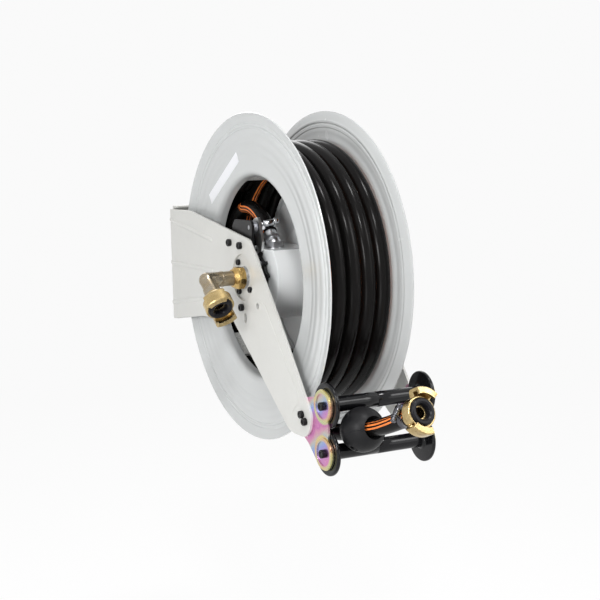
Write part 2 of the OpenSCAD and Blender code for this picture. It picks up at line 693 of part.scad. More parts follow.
// --- Roller guide ---
module at_guide() { translate([0, -axis_out - guide_out, guide_z]) children(); }
module at_roller(s) { at_guide() translate([0, 0, s * roller_gap / 2]) children(); }
plate_lobe_r = disc_d / 2 - 7.5;            // the roller discs stand out round the lobes
bead_h = 1.2;
module guide_plate_right() {
    tip = [for (p = tip_bolts) p + [guide_out, -guide_z]];
    difference() {
        union() {
            plate_x(guide_in, guide_t) {
                for (s = [-1, 1]) translate([0, s * roller_gap / 2]) circle(plate_lobe_r, $fn = 96);
                polygon(rounded([[-11, roller_gap / 2, 4], [0, roller_gap / 2 + 8, 0],
                    [21, roller_gap / 2 + 8, 3], [38, roller_gap / 2 + 5, 5], [62, 10, 10],
                    [60, -11, 10], [38, -roller_gap / 2 + 6, 8], [18, -roller_gap / 2 - 12, 3],
                    [0, -roller_gap / 2 - 8, 0], [-11, -roller_gap / 2, 4]]));
            }
            difference() {
                for (s = [-1, 1]) translate([0, 0, s * roller_gap / 2]) difference() {
                    rod_x(guide_in, guide_in + guide_t + bead_h, plate_lobe_r - 0.8, 96);
                    rod_x(guide_in - 1, guide_in + guide_t + bead_h + 1, plate_lobe_r - 5.2, 96);
                }
                translate([0, guide_out, -guide_z]) plate_x(frame_in - eps, guide_t)
                    offset(0.5) polygon(frame_outline);
            }
        }
        for (s = [-1, 1]) translate([0, 0, s * roller_gap / 2])
            rod_x(guide_in - 1, guide_in + guide_t + 2, pin_r + seat);
        for (p = tip) at_yz(p, guide_in - 1) rod_x(0, guide_t + 2, 3);
    }
}
module near_guide_plate() { color(zinc) at_guide() mirror([1, 0, 0]) guide_plate_right(); }
module far_guide_plate() { color(zinc) at_guide() guide_plate_right(); }
guide_nut_t = 4;
module guide_bolts() {
    color(black) at_axis() both_sides() for (p = tip_bolts) {
        at_yz(p, frame_w / 2) mirror([1, 0, 0]) bolt(6, frame_t + guide_t + guide_nut_t - 0.5);
        difference() {
            at_yz(p) hex_x(guide_in - guide_nut_t, guide_nut_t, 10);
            at_yz(p) rod_x(guide_in - guide_nut_t - 1, guide_in + 1, 3);
        }
    }
}
pin_head_t = 4.5;
module roller_pins() {
    color(black) for (s = [-1, 1]) at_roller(s) {
        x_out = guide_in + guide_t;
        rod_x(-x_out - pin_head_t, -x_out, pin_r + 1.2);
        rod_x(-x_out - eps, x_out + 7, pin_r);
        difference() {
            hex_x(x_out, 6.5, 13);
            rod_x(x_out - 1, x_out + 8, pin_r);
        }
    }
}
module roller() {
    both_sides() difference() {
        union() {
            rod_x(0.02, barrel_len / 2 + eps, barrel_d / 2, 64);
            turned([[0, barrel_len / 2], [disc_d / 2 - 1, barrel_len / 2],
                [disc_d / 2, barrel_len / 2 + 1], [disc_d / 2, disc_out - 1],
                [disc_d / 2 - 1, disc_out], [0, disc_out]]);
        }
        rod_x(-1, disc_out + 1, pin_r + run_fit);
    }
}
module upper_roller() { color(black) at_roller(1) roller(); }
module lower_roller() { color(black) at_roller(-1) roller(); }

// --- Claw couplings ---
// Made along +Z with its face forward: the tail starts at z = 0
seal_face = 27;
seal_r = claw_body_d / 2 - 2.4;             // outside radius of the seal's seat
inlet_turn = 28;                            // turn of the claws about the coupling's axis
outlet_turn = 125;
module claw_coupling() {
    r = claw_body_d / 2;
    difference() {
        union() {
            rotate_extrude($fn = 96) polygon([[hose_bore / 2, 0], [12, 0], [12.5, 3], [14, 6],
                [r - 1.5, 9], [r, 10.5], [r, 22.8], [r - 0.7, 23.5], [seal_r, 23.5], [seal_r, 19],
                [hose_bore / 2, 19]]);
            for (a = [0, 180]) rotate([0, 0, a]) rotate_extrude(angle = 62, $fn = 96)
                polygon([[r - 0.5, 11], [claw_d / 2 - 2, 13], [claw_d / 2, 16],
                    [claw_d / 2, 30], [claw_d / 2 - 1, 31.5], [r + 0.8, 31.5], [r + 0.8, 28],
                    [claw_d / 2 - 3.5, 28], [claw_d / 2 - 3.5, 20], [r - 0.5, 20]]);
        }
    }
}
module claw_seal() {
    rotate_extrude($fn = 96) polygon([[8, 19], [seal_r - seat, 19], [seal_r - seat, 23],
        [seal_r - 0.8, seal_face - 1], [seal_r - 2, seal_face], [11.5, seal_face],
        [9.5, seal_face - 1.5], [8, 22]]);
}

// --- Inlet elbow ---
elbow_r = elbow_d / 2;
elbow_x = nut_x - union_len - elbow_reach;
module at_drop(s) {
    at_axis() translate([elbow_x, 0, 0]) rotate([-elbow_tilt, 0, 0])
        mirror([0, 0, 1]) translate([0, 0, s]) children();
}
module inlet_elbow() {
    x_in = nut_x - union_len / 2 - 0.3;
    color(nickel) difference() {
        union() {
            at_axis() rod_x(elbow_x, x_in, elbow_r, 64);
            at_axis() rod_x(elbow_x + 20, elbow_x + 22, elbow_r + 0.8, 64);
            at_axis() translate([elbow_x, 0, 0]) sphere(r = elbow_r + 0.5, $fn = 64);
            at_drop(0) cylinder(h = elbow_drop, r = elbow_r, $fn = 64);
            at_drop(elbow_drop - 12) cylinder(h = 12, r = elbow_r + 1.2, $fn = 64);
        }
        at_axis() rod_x(elbow_x - 4, x_in + 1, water_bore / 2);
        at_drop(0) cylinder(h = elbow_drop + 1, r = water_bore / 2 - 0.2, $fn = 48);
    }
}
module inlet_coupling() { color(brass) at_drop(elbow_drop) rotate(inlet_turn) claw_coupling(); }
module inlet_seal() { color(black) at_drop(elbow_drop) claw_seal(); }

// --- Free lead of the hose, through the rollers and the stopper ball ---
// Route in the drum's own frame, from the wound hose's end to the outlet coupling
ball_at = [-26, -guide_out - ball_touch, guide_z];
ball_in = [-29.4, -200.5, -174.3];
ball_out = [-22.6, -257.5, -159.1];
route = [
    [-42.2, -88.3, -168.17], [-42.2, -93, -168.17], [-42, -101, -168.8],
    [-41.4, -112.2, -170.62], [-40.4, -124.7, -173.5],
    [-39, -137.4, -176.49], [-37, -152.3, -178.5], [-34.8, -167.1, -178.87], [-32.1, -183.5, -177.7],
    ball_in, [-26, -229, -166.7], ball_out,
    [-21.1, -269.2, -155.64], [-19.5, -282.2, -150.96], [-17.9, -295.1, -145.75], [-16.6, -306.3, -140.98],
    [-15.4, -317, -136.4]];
out_end = route[len(route) - 1];
out_dir = unit(out_end - route[len(route) - 2]);
module free_hose() { color(black) at_drum() tube_along(route, hose_r, 12); }
// Turns +Z onto the direction d
module aim(at, d) {
    translate(at) rotate([0, acos(d.z / norm(d)), atan2(d.y, d.x)]) children();
}
ball_axis = unit(ball_out - ball_in);
ball_split = 0.2;
mouth_z = 16;                              // where the hole in the ball starts to flare
module stopper_ball() {
    color(black) at_drum() aim(ball_at, ball_axis) for (s = [0, 180]) rotate([0, 0, s])
        difference() {
            sphere(r = ball_d / 2, $fn = 96);
            cylinder(h = ball_d + 2, r = hose_r + 0.25, center = true, $fn = 64);
            for (z = [0, 1]) mirror([0, 0, z]) translate([0, 0, mouth_z])
                cylinder(h = ball_d / 2 - mouth_z, r1 = hose_r + 0.25, r2 = hose_r + 6, $fn = 64);
            translate([-ball_d, -ball_d, -ball_d]) cube([ball_d + ball_split / 2, 2 * ball_d,
                2 * ball_d]);
            for (y = [-1, 1]) translate([0, y * ball_screw_y, 0]) rotate([0, 90, 0])
                cylinder(h = ball_d, r = 2.2, $fn = 32);
            for (y = [-1, 1]) translate([10, y * ball_screw_y, 0]) rotate([0, 90, 0])
                cylinder(h = ball_d, r = 4.2, $fn = 32);
        }
}
ball_screw_y = 17.5;
module ball_screws() {
    color(steel) at_drum() aim(ball_at, ball_axis) for (y = [-1, 1])
        translate([0, y * ball_screw_y, 0]) rotate([0, 90, 0]) {
            translate([0, 0, -10.2]) cylinder(h = 20.4, r = 2.1, $fn = 32);
            for (z = [10.05, -13.95]) translate([0, 0, z]) cylinder(h = 3.9, r = 3.9, $fn = 32);
        }
}
module at_outlet(s) { at_drum() aim(out_end + s * out_dir, out_dir) children(); }
module outlet_clamp() {
    color(chrome) at_outlet(-12) rotate(180) hose_clamp();
}
module outlet_coupling() { color(brass) at_outlet(0.05) rotate(outlet_turn) claw_coupling(); }
module outlet_seal() { color(black) at_outlet(0.05) claw_seal(); }

back_plate();
near_side_frame();
far_side_frame();
near_carrier();
far_carrier();
carrier_bolts();
spindle();
spindle_bolts();
spindle_nut();
union_nut();
pawl_bracket();
pawl_bolt();
pawl_pin();
pawl();
pawl_spring();
near_flange();
far_flange();
flange_spacers();
hub_housing();
hub_dish();
hub_tube();
bearing_bushes();
swivel_seals();
outlet_riser();
ratchet_wheel();
ratchet_screws();
spring_case();
case_screws();
power_spring();
hose_inner_layer();
hose_outer_layer();
hose_tail();
tail_clamp();
tail_fitting();
label();
near_guide_plate();
far_guide_plate();
guide_bolts();
roller_pins();
upper_roller();
lower_roller();
inlet_elbow();
inlet_coupling();
inlet_seal();
free_hose();
stopper_ball();
ball_screws();
outlet_clamp();
outlet_coupling();
outlet_seal();
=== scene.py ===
import math

import bpy
from mathutils import Matrix, Vector


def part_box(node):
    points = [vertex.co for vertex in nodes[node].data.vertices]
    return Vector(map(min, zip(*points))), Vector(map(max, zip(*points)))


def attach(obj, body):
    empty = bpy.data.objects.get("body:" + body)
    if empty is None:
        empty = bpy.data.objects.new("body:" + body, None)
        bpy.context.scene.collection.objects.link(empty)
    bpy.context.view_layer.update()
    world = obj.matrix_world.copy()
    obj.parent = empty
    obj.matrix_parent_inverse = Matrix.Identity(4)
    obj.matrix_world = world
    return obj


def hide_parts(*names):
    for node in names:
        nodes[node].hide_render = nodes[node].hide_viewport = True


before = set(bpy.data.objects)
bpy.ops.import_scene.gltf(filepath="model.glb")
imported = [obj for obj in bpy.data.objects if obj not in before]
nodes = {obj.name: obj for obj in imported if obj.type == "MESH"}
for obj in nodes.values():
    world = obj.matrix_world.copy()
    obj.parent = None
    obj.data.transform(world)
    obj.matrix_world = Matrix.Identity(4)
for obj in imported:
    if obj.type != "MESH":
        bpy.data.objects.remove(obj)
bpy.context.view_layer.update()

mm = 0.001
fullTurn = 2 * math.pi

# Places that several pieces share, in mm: x runs along the drum's axis, y into the wall, z up
axisY = -240
drumCentre = Vector((-6.5, axisY, 0))
nearWay, farWay = Vector((-1, 0, 0)), Vector((1, 0, 0))  # nearWay points to the inlet's side
rollerAxes = {"upper": (-445.5, -137.673), "lower": (-445.5, -195.673)}


def smooth(t):
    t = min(1.0, max(0.0, t))
    return t * t * (3 - 2 * t)


def mix(a, b, t):
    return a + (b - a) * t


# The way square to the drum's axis at an angle from the wall's way towards up
def wayAt(degrees):
    a = math.radians(degrees)
    return Vector((0, math.cos(a), math.sin(a)))


def addObject(name, data):
    made = bpy.data.objects.new(name, data)
    bpy.context.scene.collection.objects.link(made)
    return made


camera = {"lens": 78.77, "sensor": 36.0, "clip": (0.05, 60),
          "place": (-818.6, -1793.4, 184.55),  # mm
          "right": (0.8811, -0.4724, -0.023), "up": (0.0791, 0.0992, 0.9919),
          "back": (-0.4663, -0.8758, 0.1247)}


def makeCamera():
    data = bpy.data.cameras.new("camera")
    data.lens = camera["lens"]
    data.sensor_width = camera["sensor"]
    data.clip_start, data.clip_end = camera["clip"]
    made = addObject("camera", data)
    turn = Matrix((camera["right"], camera["up"], camera["back"])).transposed()
    made.matrix_world = Matrix.Translation(Vector(camera["place"]) * mm) @ turn.to_4x4()
    bpy.context.scene.camera = made


makeCamera()


# Tools for shader nodes
def feed(tree, socket, value):
    if isinstance(value, bpy.types.NodeSocket):
        tree.links.new(value, socket)
    else:
        socket.default_value = value


def addNode(tree, kind, inputs=None, **settings):
    made = tree.nodes.new("ShaderNode" + kind)
    for key, value in settings.items():
        setattr(made, key, value)
    for key, value in (inputs or {}).items():
        feed(tree, made.inputs[key], value)
    return made


def newGroup(name, inputs, outputs):
    tree = bpy.data.node_groups.new(name, "ShaderNodeTree")
    for socket, kind, value in inputs:
        made = tree.interface.new_socket(socket, in_out="INPUT", socket_type="NodeSocket" + kind)
        made.default_value = value
    for socket, kind in outputs:
        tree.interface.new_socket(socket, in_out="OUTPUT", socket_type="NodeSocket" + kind)
    return tree, tree.nodes.new("NodeGroupInput"), tree.nodes.new("NodeGroupOutput")


def rgb(r, g, b):
    return (r, g, b, 1)


def ramp(tree, fac, stops):
    made = addNode(tree, "ValToRGB", {"Fac": fac})
    band = made.color_ramp
    while len(band.elements) < len(stops):
        band.elements.new(0.5)
    for element, (place, colour) in zip(band.elements, stops):
        element.position = place
        element.color = rgb(*colour)
    return made.outputs["Color"]


def calc(tree, operation, a, b=0.0, c=0.0, clamp=False):
    return addNode(tree, "Math", {0: a, 1: b, 2: c}, operation=operation,
                   use_clamp=clamp).outputs[0]


def vectorCalc(tree, operation, a, b=(0, 0, 0)):
    made = addNode(tree, "VectorMath", {0: a, 1: b}, operation=operation)
    return made.outputs["Value" if operation in ("LENGTH", "DISTANCE", "DOT_PRODUCT") else 0]


def mapRange(tree, value, low, high):
    return addNode(tree, "MapRange", {"Value": value, "From Min": low,
                                      "From Max": high}).outputs[0]


def blendColour(tree, fac, a, b):
    made = addNode(tree, "Mix", data_type="RGBA")
    for socket, value in zip((made.inputs[0], made.inputs[6], made.inputs[7]), (fac, a, b)):
        feed(tree, socket, value)
    return made.outputs[2]


# Where a point is on the object at rest, in m
def pointOn(tree):
    return addNode(tree, "TexCoord").outputs["Object"]


# Soft uneven shade and gloss over a surface
mottling = {"detail": 4.0, "rough": 0.62, "fineScale": 9.0, "fineDetail": 2.0, "fineShare": 0.3,
            "range": (0.36, 0.64)}


def makeMottle():
    m = mottling
    tree, gin, gout = newGroup("mottle", [
        ("Color", "Color", (0.5, 0.5, 0.5, 1)), ("Shade", "Color", (0.4, 0.4, 0.4, 1)),
        ("Scale", "Float", 30.0), ("Amount", "Float", 0.3), ("Roughness", "Float", 0.4),
        ("Spread", "Float", 0.1)], [("Color", "Color"), ("Roughness", "Float")])
    where = pointOn(tree)
    wide = addNode(tree, "TexNoise", {"Vector": where, "Scale": gin.outputs["Scale"],
                                      "Detail": m["detail"], "Roughness": m["rough"]})
    fineScale = calc(tree, "MULTIPLY", gin.outputs["Scale"], m["fineScale"])
    fine = addNode(tree, "TexNoise", {"Vector": where, "Scale": fineScale,
                                      "Detail": m["fineDetail"]})
    both = calc(tree, "MULTIPLY_ADD", fine.outputs["Fac"], m["fineShare"],
                calc(tree, "MULTIPLY", wide.outputs["Fac"], 1 - m["fineShare"]))
    swing = mapRange(tree, both, *m["range"])
    fac = calc(tree, "MULTIPLY", swing, gin.outputs["Amount"])
    tree.links.new(blendColour(tree, fac, gin.outputs["Color"], gin.outputs["Shade"]),
                   gout.inputs["Color"])
    tree.links.new(calc(tree, "MULTIPLY_ADD", calc(tree, "SUBTRACT", swing, 0.5),
                        gin.outputs["Spread"], gin.outputs["Roughness"]),
                   gout.inputs["Roughness"])
    return tree


# A mask that is 1 on convex edges, broken up so that wear looks patchy
def makeEdgeWear():
    tree, gin, gout = newGroup("edgeWear", [
        ("Radius", "Float", 0.0008), ("Start", "Float", 0.04), ("Full", "Float", 0.25),
        ("Patch Scale", "Float", 60.0), ("Patchiness", "Float", 0.6)], [("Mask", "Float")])
    rounded = addNode(tree, "Bevel", {"Radius": gin.outputs["Radius"]}, samples=4).outputs[0]
    plain = addNode(tree, "NewGeometry").outputs["Normal"]
    bend = calc(tree, "SUBTRACT", 1.0, vectorCalc(tree, "DOT_PRODUCT", rounded, plain))
    patch = addNode(tree, "TexNoise", {"Vector": pointOn(tree), "Detail": 3.0,
                                       "Scale": gin.outputs["Patch Scale"]})
    held = calc(tree, "MULTIPLY_ADD", calc(tree, "SUBTRACT", patch.outputs["Fac"], 0.5),
                gin.outputs["Patchiness"], 1.0)
    mask = mapRange(tree, calc(tree, "MULTIPLY", bend, held), gin.outputs["Start"],
                    gin.outputs["Full"])
    tree.links.new(mask, gout.inputs["Mask"])
    return tree


# Height of a sprayed or cast skin: small rounded bumps with finer grain on them
def makeSkin():
    tree, gin, gout = newGroup("skin", [
        ("Scale", "Float", 300.0), ("Grain Scale", "Float", 1500.0), ("Grain", "Float", 0.3)],
        [("Height", "Float")])
    where = pointOn(tree)
    bumps = addNode(tree, "TexVoronoi", {"Vector": where, "Scale": gin.outputs["Scale"],
                                         "Smoothness": 1.0}, feature="SMOOTH_F1")
    grain = addNode(tree, "TexNoise", {"Vector": where, "Scale": gin.outputs["Grain Scale"],
                                       "Detail": 2.0})
    tree.links.new(calc(tree, "MULTIPLY_ADD", grain.outputs["Fac"], gin.outputs["Grain"],
                        bumps.outputs["Distance"]), gout.inputs["Height"])
    return tree


# Fine turning or brushing lines, close together along X
def makeTurnLines():
    tree, gin, gout = newGroup("turnLines", [
        ("Across", "Float", 900.0), ("Along", "Float", 25.0)], [("Height", "Float")])
    parts = addNode(tree, "SeparateXYZ", {"Vector": pointOn(tree)})
    squeezed = addNode(tree, "CombineXYZ", {
        i: calc(tree, "MULTIPLY", parts.outputs[i], gin.outputs[name])
        for i, name in enumerate(("Across", "Along", "Along"))}).outputs[0]
    lines = addNode(tree, "TexNoise", {"Vector": squeezed, "Scale": 1.0, "Detail": 2.0})
    tree.links.new(lines.outputs["Fac"], gout.inputs["Height"])
    return tree


# The coloured lines moulded along a hose: u runs round it, with 0.5 at the lines' middle
lineWander = {"scale": 14.0, "reach": 0.006}


def makeHoseLines():
    tree, gin, gout = newGroup("hoseLines", [
        ("Offset", "Float", 0.033), ("Half Width", "Float", 0.0185),
        ("Side Offset", "Float", 0.088), ("Side Half Width", "Float", 0.008),
        ("Edge", "Float", 0.004)], [("Mask", "Float")])
    uv = addNode(tree, "UVMap", uv_map="hoseUv").outputs["UV"]
    parts = addNode(tree, "SeparateXYZ", {"Vector": uv})
    noise = addNode(tree, "TexNoise", {"Vector": uv, "Scale": lineWander["scale"], "Detail": 1.0})
    u = calc(tree, "SUBTRACT", calc(tree, "MULTIPLY_ADD", noise.outputs["Fac"],
                                    lineWander["reach"], parts.outputs[0]),
             0.5 + lineWander["reach"] / 2)
    masks = []
    for centre, kind in ((calc(tree, "ABSOLUTE", u), ""), (u, "Side ")):
        gap = calc(tree, "ABSOLUTE", calc(tree, "SUBTRACT", centre, gin.outputs[kind + "Offset"]))
        near = calc(tree, "SUBTRACT", gin.outputs[kind + "Half Width"], gap)
        masks.append(calc(tree, "DIVIDE", near, gin.outputs["Edge"], clamp=True))
    tree.links.new(calc(tree, "MAXIMUM", *masks), gout.inputs["Mask"])
    return tree


# Soft rings pressed in round the drum's axis, fading out at their inner and outer ends
def makePressedRings():
    tree, gin, gout = newGroup("pressedRings", [
        ("Pitch", "Float", 0.0125), ("Inner", "Float", 0.158), ("Outer", "Float", 0.204),
        ("Fade", "Float", 160.0)], [("Height", "Float")])
    fromAxis = vectorCalc(tree, "ADD", pointOn(tree), (0, -axisY * mm, 0))
    reach = vectorCalc(tree, "LENGTH", vectorCalc(tree, "MULTIPLY", fromAxis, (0, 1, 1)))
    turns = calc(tree, "DIVIDE", reach, gin.outputs["Pitch"])
    wave = calc(tree, "SINE", calc(tree, "MULTIPLY", turns, fullTurn))
    inside = calc(tree, "SUBTRACT", reach, gin.outputs["Inner"])
    outside = calc(tree, "SUBTRACT", gin.outputs["Outer"], reach)
    band = calc(tree, "MULTIPLY", calc(tree, "MINIMUM", inside, outside), gin.outputs["Fade"],
                clamp=True)
    tree.links.new(calc(tree, "MULTIPLY", wave, band), gout.inputs["Height"])
    return tree


groups = {"mottle": makeMottle(), "edgeWear": makeEdgeWear(), "skin": makeSkin(),
          "turnLines": makeTurnLines(), "hoseLines": makeHoseLines(),
          "pressedRings": makePressedRings()}


def useGroup(tree, name, **inputs):
    made = tree.nodes.new("ShaderNodeGroup")
    made.node_tree = groups[name]
    for key, value in inputs.items():
        feed(tree, made.inputs[key.replace("_", " ")], value)
    return made


def newMaterial(name, **settings):
    material = bpy.data.materials.new(name)
    material.use_nodes = True
    shader = material.node_tree.nodes["Principled BSDF"]
    for key, value in settings.items():
        shader.inputs[key.replace("_", " ")].default_value = value
    return material, material.node_tree, shader


# Relief on a shader or on another bump; the distance is in mm
def addBump(tree, onto, height, strength, distance):
    bump = addNode(tree, "Bump", {"Height": height, "Strength": strength,
                                  "Distance": distance * mm})
    tree.links.new(bump.outputs[0], onto.inputs["Normal"])


# Mottled colour and gloss, with another colour on worn edges
def addSurface(tree, shader, colour, shade, worn, rough, spread, scale, amount, wearStart,
               wearFull):
    base = useGroup(tree, "mottle", Color=rgb(*colour), Shade=rgb(*shade), Scale=scale,
                    Amount=amount, Roughness=rough, Spread=spread)
    edges = useGroup(tree, "edgeWear", Radius=0.6 * mm, Start=wearStart, Full=wearFull)
    tree.links.new(blendColour(tree, edges.outputs[0], base.outputs["Color"], rgb(*worn)),
                   shader.inputs["Base Color"])
    tree.links.new(base.outputs["Roughness"], shader.inputs["Roughness"])


# A sprayed or moulded finish, with a skin
def coated(name, colour, shade, worn, rough, spread=0.08, scale=14.0, amount=0.5, wearFull=0.5,
           skinScale=420.0, skinDepth=0.12, **settings):
    material, tree, shader = newMaterial(name, **settings)
    addSurface(tree, shader, colour, shade, worn, rough, spread, scale, amount,
               wearStart=0.05, wearFull=wearFull)
    skin = useGroup(tree, "skin", Scale=skinScale, Grain_Scale=skinScale * 5, Grain=0.3)
    addBump(tree, shader, skin.outputs[0], strength=skinDepth, distance=0.05)
    return material


# Bare metal, with brighter edges and fine machining lines
def bareMetal(name, colour, shade, worn, rough, spread=0.14, scale=45.0, amount=0.6,
              across=1400.0, along=30.0, depth=0.25):
    material, tree, shader = newMaterial(name, Metallic=1.0)
    addSurface(tree, shader, colour, shade, worn, rough, spread, scale, amount,
               wearStart=0.03, wearFull=0.35)
    lines = useGroup(tree, "turnLines", Across=across, Along=along)
    addBump(tree, shader, lines.outputs[0], strength=depth, distance=0.05)
    return material


# Colours are given as colour, shade and worn edge
drumPaint = coated("drumPaint", (0.53, 0.545, 0.545), (0.49, 0.50, 0.495), (0.53, 0.545, 0.545),
                   rough=0.26, spread=0.03, scale=5.0, amount=0.3, skinScale=60.0,
                   skinDepth=0.03, Coat_Weight=0.35, Coat_Roughness=0.10)
# The hub housing and dish take the drum's paint made far lighter: painted light inside the drum
hubPaintWithPaintedLight = coated("hubPaintWithPaintedLight", (0.86, 0.88, 0.885), (0.82, 0.845, 0.86), (0.86, 0.88, 0.885),
                  rough=0.26, spread=0.03, scale=5.0, amount=0.3, skinScale=60.0,
                  skinDepth=0.03, Coat_Weight=0.35, Coat_Roughness=0.10)
framePaint = coated("framePaint", (0.60, 0.60, 0.575), (0.55, 0.55, 0.525), (0.66, 0.66, 0.635),
                    rough=0.34, amount=0.35, skinDepth=0.08, Coat_Weight=0.2,
                    Coat_Roughness=0.15)
rollerPlastic = coated("rollerPlastic", (0.005, 0.005, 0.006), (0.007, 0.007, 0.008),
                       (0.02, 0.02, 0.022), rough=0.12, spread=0.03, scale=60.0,
                       skinScale=900.0, skinDepth=0.01, Specular_IOR_Level=0.28)
ballRubber = coated("ballRubber", (0.009, 0.009, 0.010), (0.014, 0.014, 0.015),
                    (0.03, 0.03, 0.033), rough=0.42, spread=0.10, scale=70.0,
                    skinScale=1500.0, Specular_IOR_Level=0.16)
sealRubber = coated("sealRubber", (0.007, 0.007, 0.009), (0.012, 0.012, 0.014),
                    (0.03, 0.03, 0.033), rough=0.30, scale=90.0, skinScale=1200.0,
                    skinDepth=0.10, Specular_IOR_Level=0.15)
blackOxide = coated("blackOxide", (0.007, 0.007, 0.008), (0.013, 0.012, 0.012),
                    (0.10, 0.10, 0.11), rough=0.32, spread=0.2, scale=160.0, amount=0.7,
                    wearFull=0.9, skinScale=1600.0, skinDepth=0.15, Specular_IOR_Level=0.18)
blackPaint = coated("blackPaint", (0.009, 0.009, 0.010), (0.016, 0.015, 0.015),
                    (0.08, 0.08, 0.085), rough=0.36, spread=0.12, scale=60.0, amount=0.6,
                    wearFull=0.9, skinScale=900.0, skinDepth=0.15, Specular_IOR_Level=0.25)
labelFilm = coated("labelFilm", (0.80, 0.81, 0.84), (0.77, 0.78, 0.81), (0.84, 0.84, 0.86),
                   rough=0.36, scale=40.0, amount=0.4, skinScale=700.0, skinDepth=0.05,
                   Coat_Weight=0.3, Coat_Roughness=0.2)
brassMetal = bareMetal("brassMetal", (0.68, 0.48, 0.19), (0.34, 0.21, 0.07), (0.92, 0.76, 0.45),
                       rough=0.24, amount=0.8, scale=60.0)
castBrass = bareMetal("castBrass", (0.62, 0.48, 0.24), (0.27, 0.18, 0.07), (0.94, 0.82, 0.56),
                      rough=0.27, spread=0.2, amount=0.8, scale=80.0, across=700.0,
                      along=400.0, depth=0.35)
wornNickel = bareMetal("wornNickel", (0.40, 0.36, 0.29), (0.28, 0.20, 0.10), (0.84, 0.80, 0.72),
                       rough=0.28, spread=0.2, amount=0.85, scale=50.0, across=500.0,
                       along=300.0)
chrome = bareMetal("chrome", (0.80, 0.81, 0.83), (0.62, 0.63, 0.66), (0.95, 0.96, 0.98),
                   rough=0.20, spread=0.1, amount=0.4, depth=0.1)
satinChrome = bareMetal("satinChrome", (0.74, 0.75, 0.77), (0.55, 0.56, 0.58),
                        (0.92, 0.93, 0.95), rough=0.32, spread=0.12, amount=0.5, depth=0.15)
# A darkened copy of the chrome, for the outlet clamp alone: painted shade
chromeWithPaintedShade = bareMetal("chromeWithPaintedShade", (0.13, 0.13, 0.14), (0.07, 0.07, 0.08), (0.42, 0.42, 0.44),
                       rough=0.22, spread=0.1, amount=0.5, depth=0.1)
turnedSteel = bareMetal("turnedSteel", (0.46, 0.47, 0.49), (0.34, 0.34, 0.35),
                        (0.70, 0.71, 0.73), rough=0.32)
platedSteel = bareMetal("platedSteel", (0.70, 0.71, 0.71), (0.58, 0.58, 0.57),
                        (0.85, 0.86, 0.87), rough=0.36, across=300.0, along=300.0)
springSteel = bareMetal("springSteel", (0.30, 0.31, 0.34), (0.20, 0.19, 0.19),
                        (0.5, 0.5, 0.52), rough=0.36)
bronze = bareMetal("bronze", (0.55, 0.36, 0.16), (0.38, 0.24, 0.11), (0.75, 0.55, 0.30),
                   rough=0.42)

# The rings pressed into the drum's flanges show under the paint's own skin
flangeRings = {"pitch": 0.0125, "inner": 0.158, "outer": 0.204, "depth": 0.28}


def pressRings(material):
    tree, f = material.node_tree, flangeRings
    pressed = useGroup(tree, "pressedRings", Pitch=f["pitch"], Inner=f["inner"],
                       Outer=f["outer"])
    skin = tree.nodes["Principled BSDF"].inputs["Normal"].links[0].from_node
    addBump(tree, skin, pressed.outputs[0], strength=1.0, distance=f["depth"])


pressRings(drumPaint)

# Rubber cover of the hose, with its moulded lines
cover = {"colour": (0.0045, 0.0041, 0.0040), "shade": (0.0072, 0.0066, 0.0064), "rough": 0.20,
         "line": (0.86, 0.235, 0.055), "lineShade": (0.60, 0.15, 0.035), "lineRough": 0.35,
         "lineHeight": 0.5, "drawn": (60.0, 3.0, 1.0)}


def makeHoseRubber():
    material, tree, shader = newMaterial("hoseRubber", Specular_IOR_Level=0.10)
    base = useGroup(tree, "mottle", Color=rgb(*cover["colour"]), Shade=rgb(*cover["shade"]),
                    Scale=38.0, Amount=0.6, Roughness=cover["rough"], Spread=0.05)
    line = useGroup(tree, "mottle", Color=rgb(*cover["line"]), Shade=rgb(*cover["lineShade"]),
                    Scale=70.0, Amount=0.35, Roughness=cover["lineRough"], Spread=0.05)
    mask = useGroup(tree, "hoseLines").outputs["Mask"]
    tree.links.new(blendColour(tree, mask, base.outputs["Color"], line.outputs["Color"]),
                   shader.inputs["Base Color"])
    tree.links.new(base.outputs["Roughness"], shader.inputs["Roughness"])
    uv = addNode(tree, "UVMap", uv_map="hoseUv").outputs["UV"]
    drawn = addNode(tree, "Mapping", {"Vector": uv, "Scale": cover["drawn"]}).outputs[0]
    streaks = addNode(tree, "TexNoise", {"Vector": drawn, "Scale": 1.0, "Detail": 3.0})
    height = calc(tree, "MULTIPLY_ADD", mask, cover["lineHeight"], streaks.outputs["Fac"])
    addBump(tree, shader, height, strength=0.05, distance=0.06)
    return material


# Passivated zinc: bands of interference colour, gold round the lobes
zinc = {"cloudScale": 22.0, "byHeight": (19.0, 3.72), "byDepth": (7.0, 3.1),
        "bandCloud": 0.9, "rimCloud": 1.6, "rimShare": 0.9,
        "rimFrom": (0.0143, 0.0172), "rimTo": (0.0212, 0.0235),  # reach from a roller's axis
        "worn": (0.90, 0.84, 0.62), "rough": (0.12, 0.22),
        "bands": [(0.0, (0.60, 0.20, 0.46)), (0.18, (0.68, 0.28, 0.52)),
                  (0.36, (0.46, 0.28, 0.60)), (0.50, (0.32, 0.38, 0.72)),
                  (0.64, (0.40, 0.50, 0.62)), (0.76, (0.56, 0.52, 0.48)),
                  (0.88, (0.66, 0.34, 0.46)), (1.0, (0.60, 0.20, 0.46))],
        "rims": [(0.0, (0.72, 0.58, 0.24)), (0.35, (0.52, 0.64, 0.34)),
                 (0.6, (0.68, 0.62, 0.28)), (0.8, (0.72, 0.40, 0.26)),
                 (1.0, (0.72, 0.58, 0.24))]}


